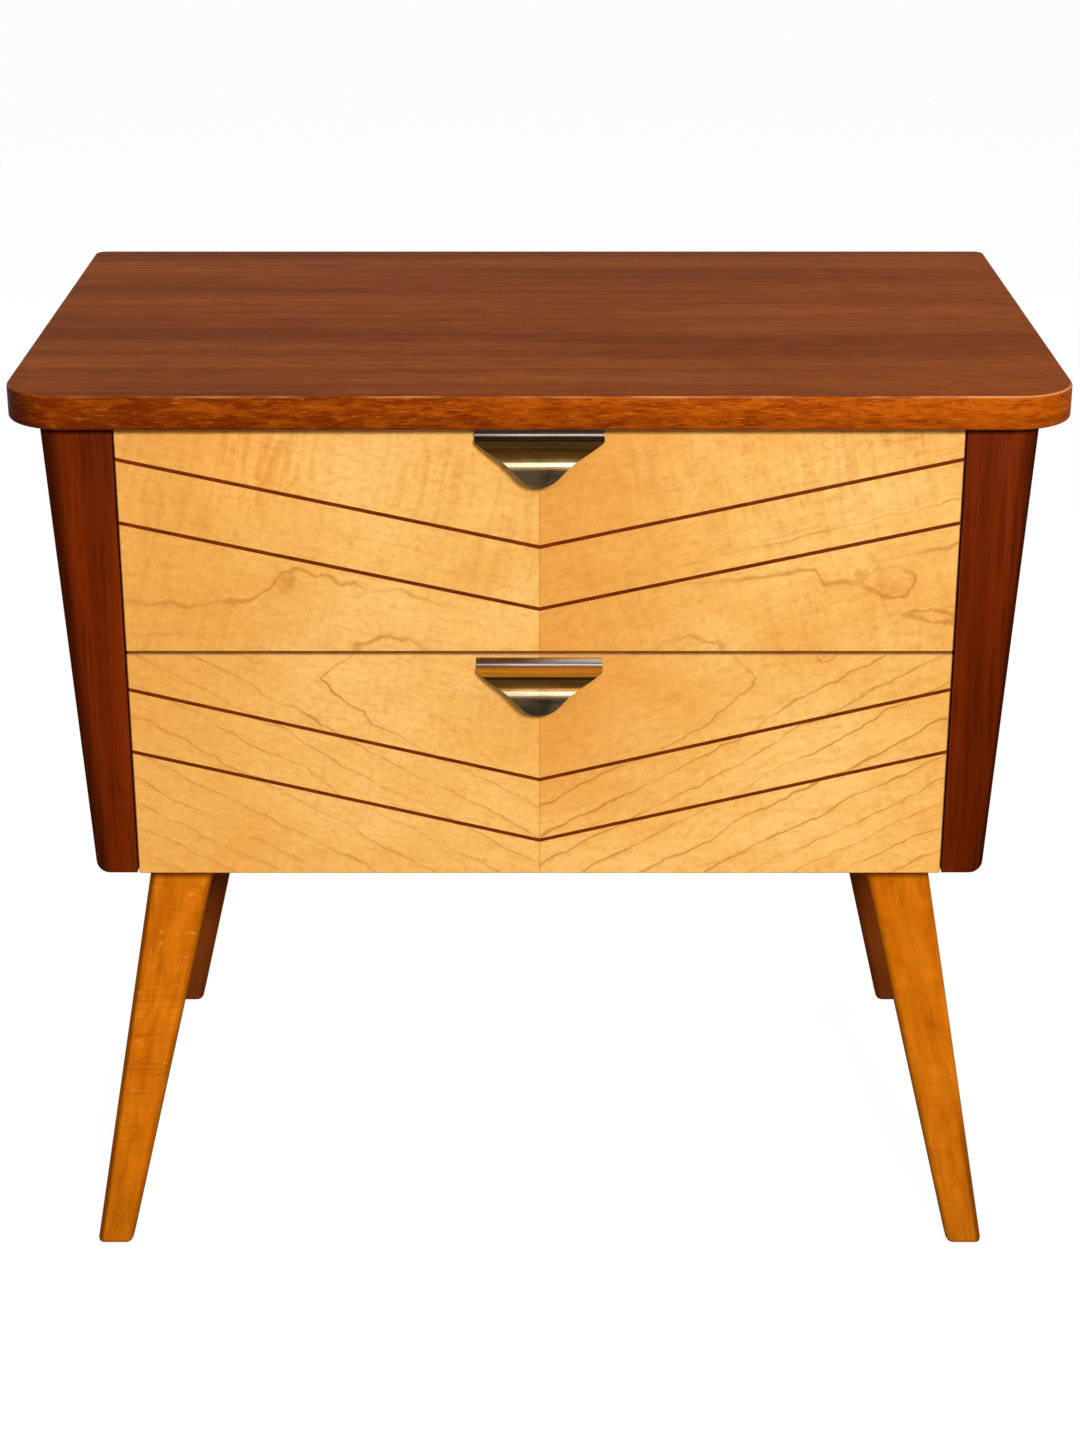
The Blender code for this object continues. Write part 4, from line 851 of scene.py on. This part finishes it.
def make_fasteners():
    """Brads in the back and in the drawer bottoms, screws in the runners and the leg bearers."""
    tree = fastener_tree()
    low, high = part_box("back_panel")
    sunk = high.y + BRAD_PROUD - BRAD_HEAD[1]
    edge_x = high.x - BACK_BRAD_MARGIN
    edge_low, edge_high = low.z + BACK_BRAD_MARGIN, high.z - BACK_BRAD_MARGIN
    across = spread(-edge_x, edge_x, BACK_BRADS_ACROSS)
    between = spread(edge_low, edge_high, BACK_BRADS_UP)[1:-1]
    places = [(x, sunk, z) for z in (edge_low, edge_high) for x in across]
    places += [(x, sunk, z) for x in (-edge_x, edge_x) for z in between]
    fasten("back_brads", "case", tree, places, [(0, 1, 0)] * len(places), BRAD_HEAD, False)

    places, outward = [], []
    for drawer in ("upper", "lower"):
        for hand, side in (("left", -1), ("right", 1)):
            low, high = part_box(f"{drawer}_runner_{hand}")
            inner = min(abs(low.x), abs(high.x))
            x = side * (inner - HEAD_PROUD + RUNNER_SCREW_HEAD[1])
            row = spread(low.y + RUNNER_SCREW_MARGIN, high.y - RUNNER_SCREW_MARGIN, RUNNER_SCREWS)
            places += [(x, y, (low.z + high.z) / 2) for y in row]
            outward += [(-side, 0, 0)] * len(row)
    fasten("runner_screws", "case", tree, places, outward, RUNNER_SCREW_HEAD, True)

    places = []
    for hand in ("left", "right"):
        low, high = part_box(f"{hand}_leg_bearer")
        z = low.z - HEAD_PROUD + BEARER_SCREW_HEAD[1]
        places += [((low.x + high.x) / 2, y, z) for y in spread(*BEARER_SCREW_ROW, BEARER_SCREWS)]
    fasten("bearer_screws", "case", tree, places, [(0, 0, -1)] * len(places), BEARER_SCREW_HEAD, True)

    for drawer in ("upper", "lower"):
        low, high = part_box(f"{drawer}_box_bottom")
        back_low, back_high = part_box(f"{drawer}_box_back")
        z = low.z - BRAD_PROUD + BRAD_HEAD[1]
        row = spread(low.x + BOTTOM_BRAD_MARGIN, high.x - BOTTOM_BRAD_MARGIN, BOTTOM_BRADS)
        places = [(x, (back_low.y + back_high.y) / 2, z) for x in row]
        fasten(f"{drawer}_bottom_brads", f"{drawer}_drawer", tree, places, [(0, 0, -1)] * len(places),
               BRAD_HEAD, False)


def dress_nodes():
    """The rest of the frame keeps its own solids and gets the finishes."""
    for node, piece in NODES.items():
        piece.data.materials.clear()
        piece.data.materials.append(FINISHES[SLOT_OF[node]])


def make_camera():
    """The photograph's view."""
    lens = bpy.data.cameras.new("photo_camera")
    lens.lens = CAMERA_LENS
    lens.sensor_width = SENSOR_LONG_SIDE
    camera = bpy.data.objects.new("photo_camera", lens)
    camera.location = CAMERA_PLACE
    camera.rotation_euler = (math.radians(90 - CAMERA_PITCH), 0, 0)
    bpy.context.scene.collection.objects.link(camera)
    bpy.context.scene.camera = camera


def make_light(name, place, aim, width, height, power):
    """A flat softbox that faces the aim."""
    lamp = bpy.data.lights.new(name, "AREA")
    lamp.shape = "RECTANGLE"
    lamp.size = width
    lamp.size_y = height
    lamp.energy = power
    holder = bpy.data.objects.new(name, lamp)
    holder.location = place
    holder.rotation_euler = (Vector(aim) - Vector(place)).to_track_quat("-Z", "Y").to_euler()
    bpy.context.scene.collection.objects.link(holder)


def sight(tree):
    """Two switches: one for what is seen, straight or through glass, the other for what metal mirrors."""
    path = tree.nodes.new("ShaderNodeLightPath").outputs
    return combine(tree, "MAXIMUM", path["Is Camera Ray"], path["Is Transmission Ray"]), path["Is Glossy Ray"]


def make_world():
    """Dim even studio light, stronger from both sides, in front of a white backdrop.

    What mirrors it shows the backdrop's lower part, up to a little above the horizon.
    """
    world = bpy.data.worlds.new("studio")
    bpy.context.scene.world = world
    world.use_nodes = True
    tree = world.node_tree
    direction = tree.nodes.new("ShaderNodeTexCoord").outputs["Generated"]
    parts = tree.nodes.new("ShaderNodeSeparateXYZ")
    tree.links.new(direction, parts.inputs[0])
    aside = combine(tree, "MULTIPLY", parts.outputs["X"], parts.outputs["X"])
    level = combine(tree, "MULTIPLY_ADD", aside, WORLD_SIDES, WORLD_LEVEL)
    low_down = tree.nodes.new("ShaderNodeMapRange")
    low_down.interpolation_type = "SMOOTHSTEP"
    low_down.inputs["From Min"].default_value = BACKDROP_FADE_END
    low_down.inputs["From Max"].default_value = BACKDROP_FADE_START
    tree.links.new(parts.outputs["Z"], low_down.inputs["Value"])
    seen, mirrored = sight(tree)
    backdrop = combine(tree, "MAXIMUM", seen, combine(tree, "MULTIPLY", mirrored, low_down.outputs["Result"]))
    missing = combine(tree, "SUBTRACT", 1.0, level)
    sky = tree.nodes["Background"]
    sky.inputs["Color"].default_value = (1.0, 1.0, 1.0, 1.0)
    tree.links.new(combine(tree, "MULTIPLY_ADD", backdrop, missing, level), sky.inputs["Strength"])


def make_floor():
    """Pale floor that the camera and the metal see as white, with a faint shadow of the object."""
    mesh = bpy.data.meshes.new("floor")
    mesh.from_pydata([(-FLOOR_REACH, -FLOOR_REACH, FLOOR_LEVEL), (FLOOR_REACH, -FLOOR_REACH, FLOOR_LEVEL),
                      (FLOOR_REACH, FLOOR_REACH, FLOOR_LEVEL), (-FLOOR_REACH, FLOOR_REACH, FLOOR_LEVEL)],
                     [], [(0, 1, 2, 3)])
    floor = bpy.data.objects.new("floor", mesh)
    bpy.context.scene.collection.objects.link(floor)
    paint = bpy.data.materials.new("floor_paint")
    paint.use_nodes = True
    tree = paint.node_tree
    tree.nodes.clear()
    glow = tree.nodes.new("ShaderNodeEmission")
    glow.inputs["Strength"].default_value = FLOOR_GLOW
    shade = tree.nodes.new("ShaderNodeBsdfDiffuse")
    shade.inputs["Color"].default_value = FLOOR_SHADE
    white = tree.nodes.new("ShaderNodeAddShader")
    tree.links.new(glow.outputs[0], white.inputs[0])
    tree.links.new(shade.outputs[0], white.inputs[1])
    matt = tree.nodes.new("ShaderNodeBsdfDiffuse")
    matt.inputs["Color"].default_value = FLOOR_COLOUR
    mixed = tree.nodes.new("ShaderNodeMixShader")
    tree.links.new(combine(tree, "MAXIMUM", *sight(tree)), mixed.inputs[0])
    tree.links.new(matt.outputs[0], mixed.inputs[1])
    tree.links.new(white.outputs[0], mixed.inputs[2])
    out = tree.nodes.new("ShaderNodeOutputMaterial")
    tree.links.new(mixed.outputs[0], out.inputs["Surface"])
    mesh.materials.append(paint)


dress_nodes()
make_top()
make_sides()
make_legs()
make_pulls()
make_fasteners()
make_camera()
make_world()
make_floor()
for softbox in SOFTBOXES:
    make_light(*softbox)

bpy.context.scene.view_settings.view_transform = "Standard"
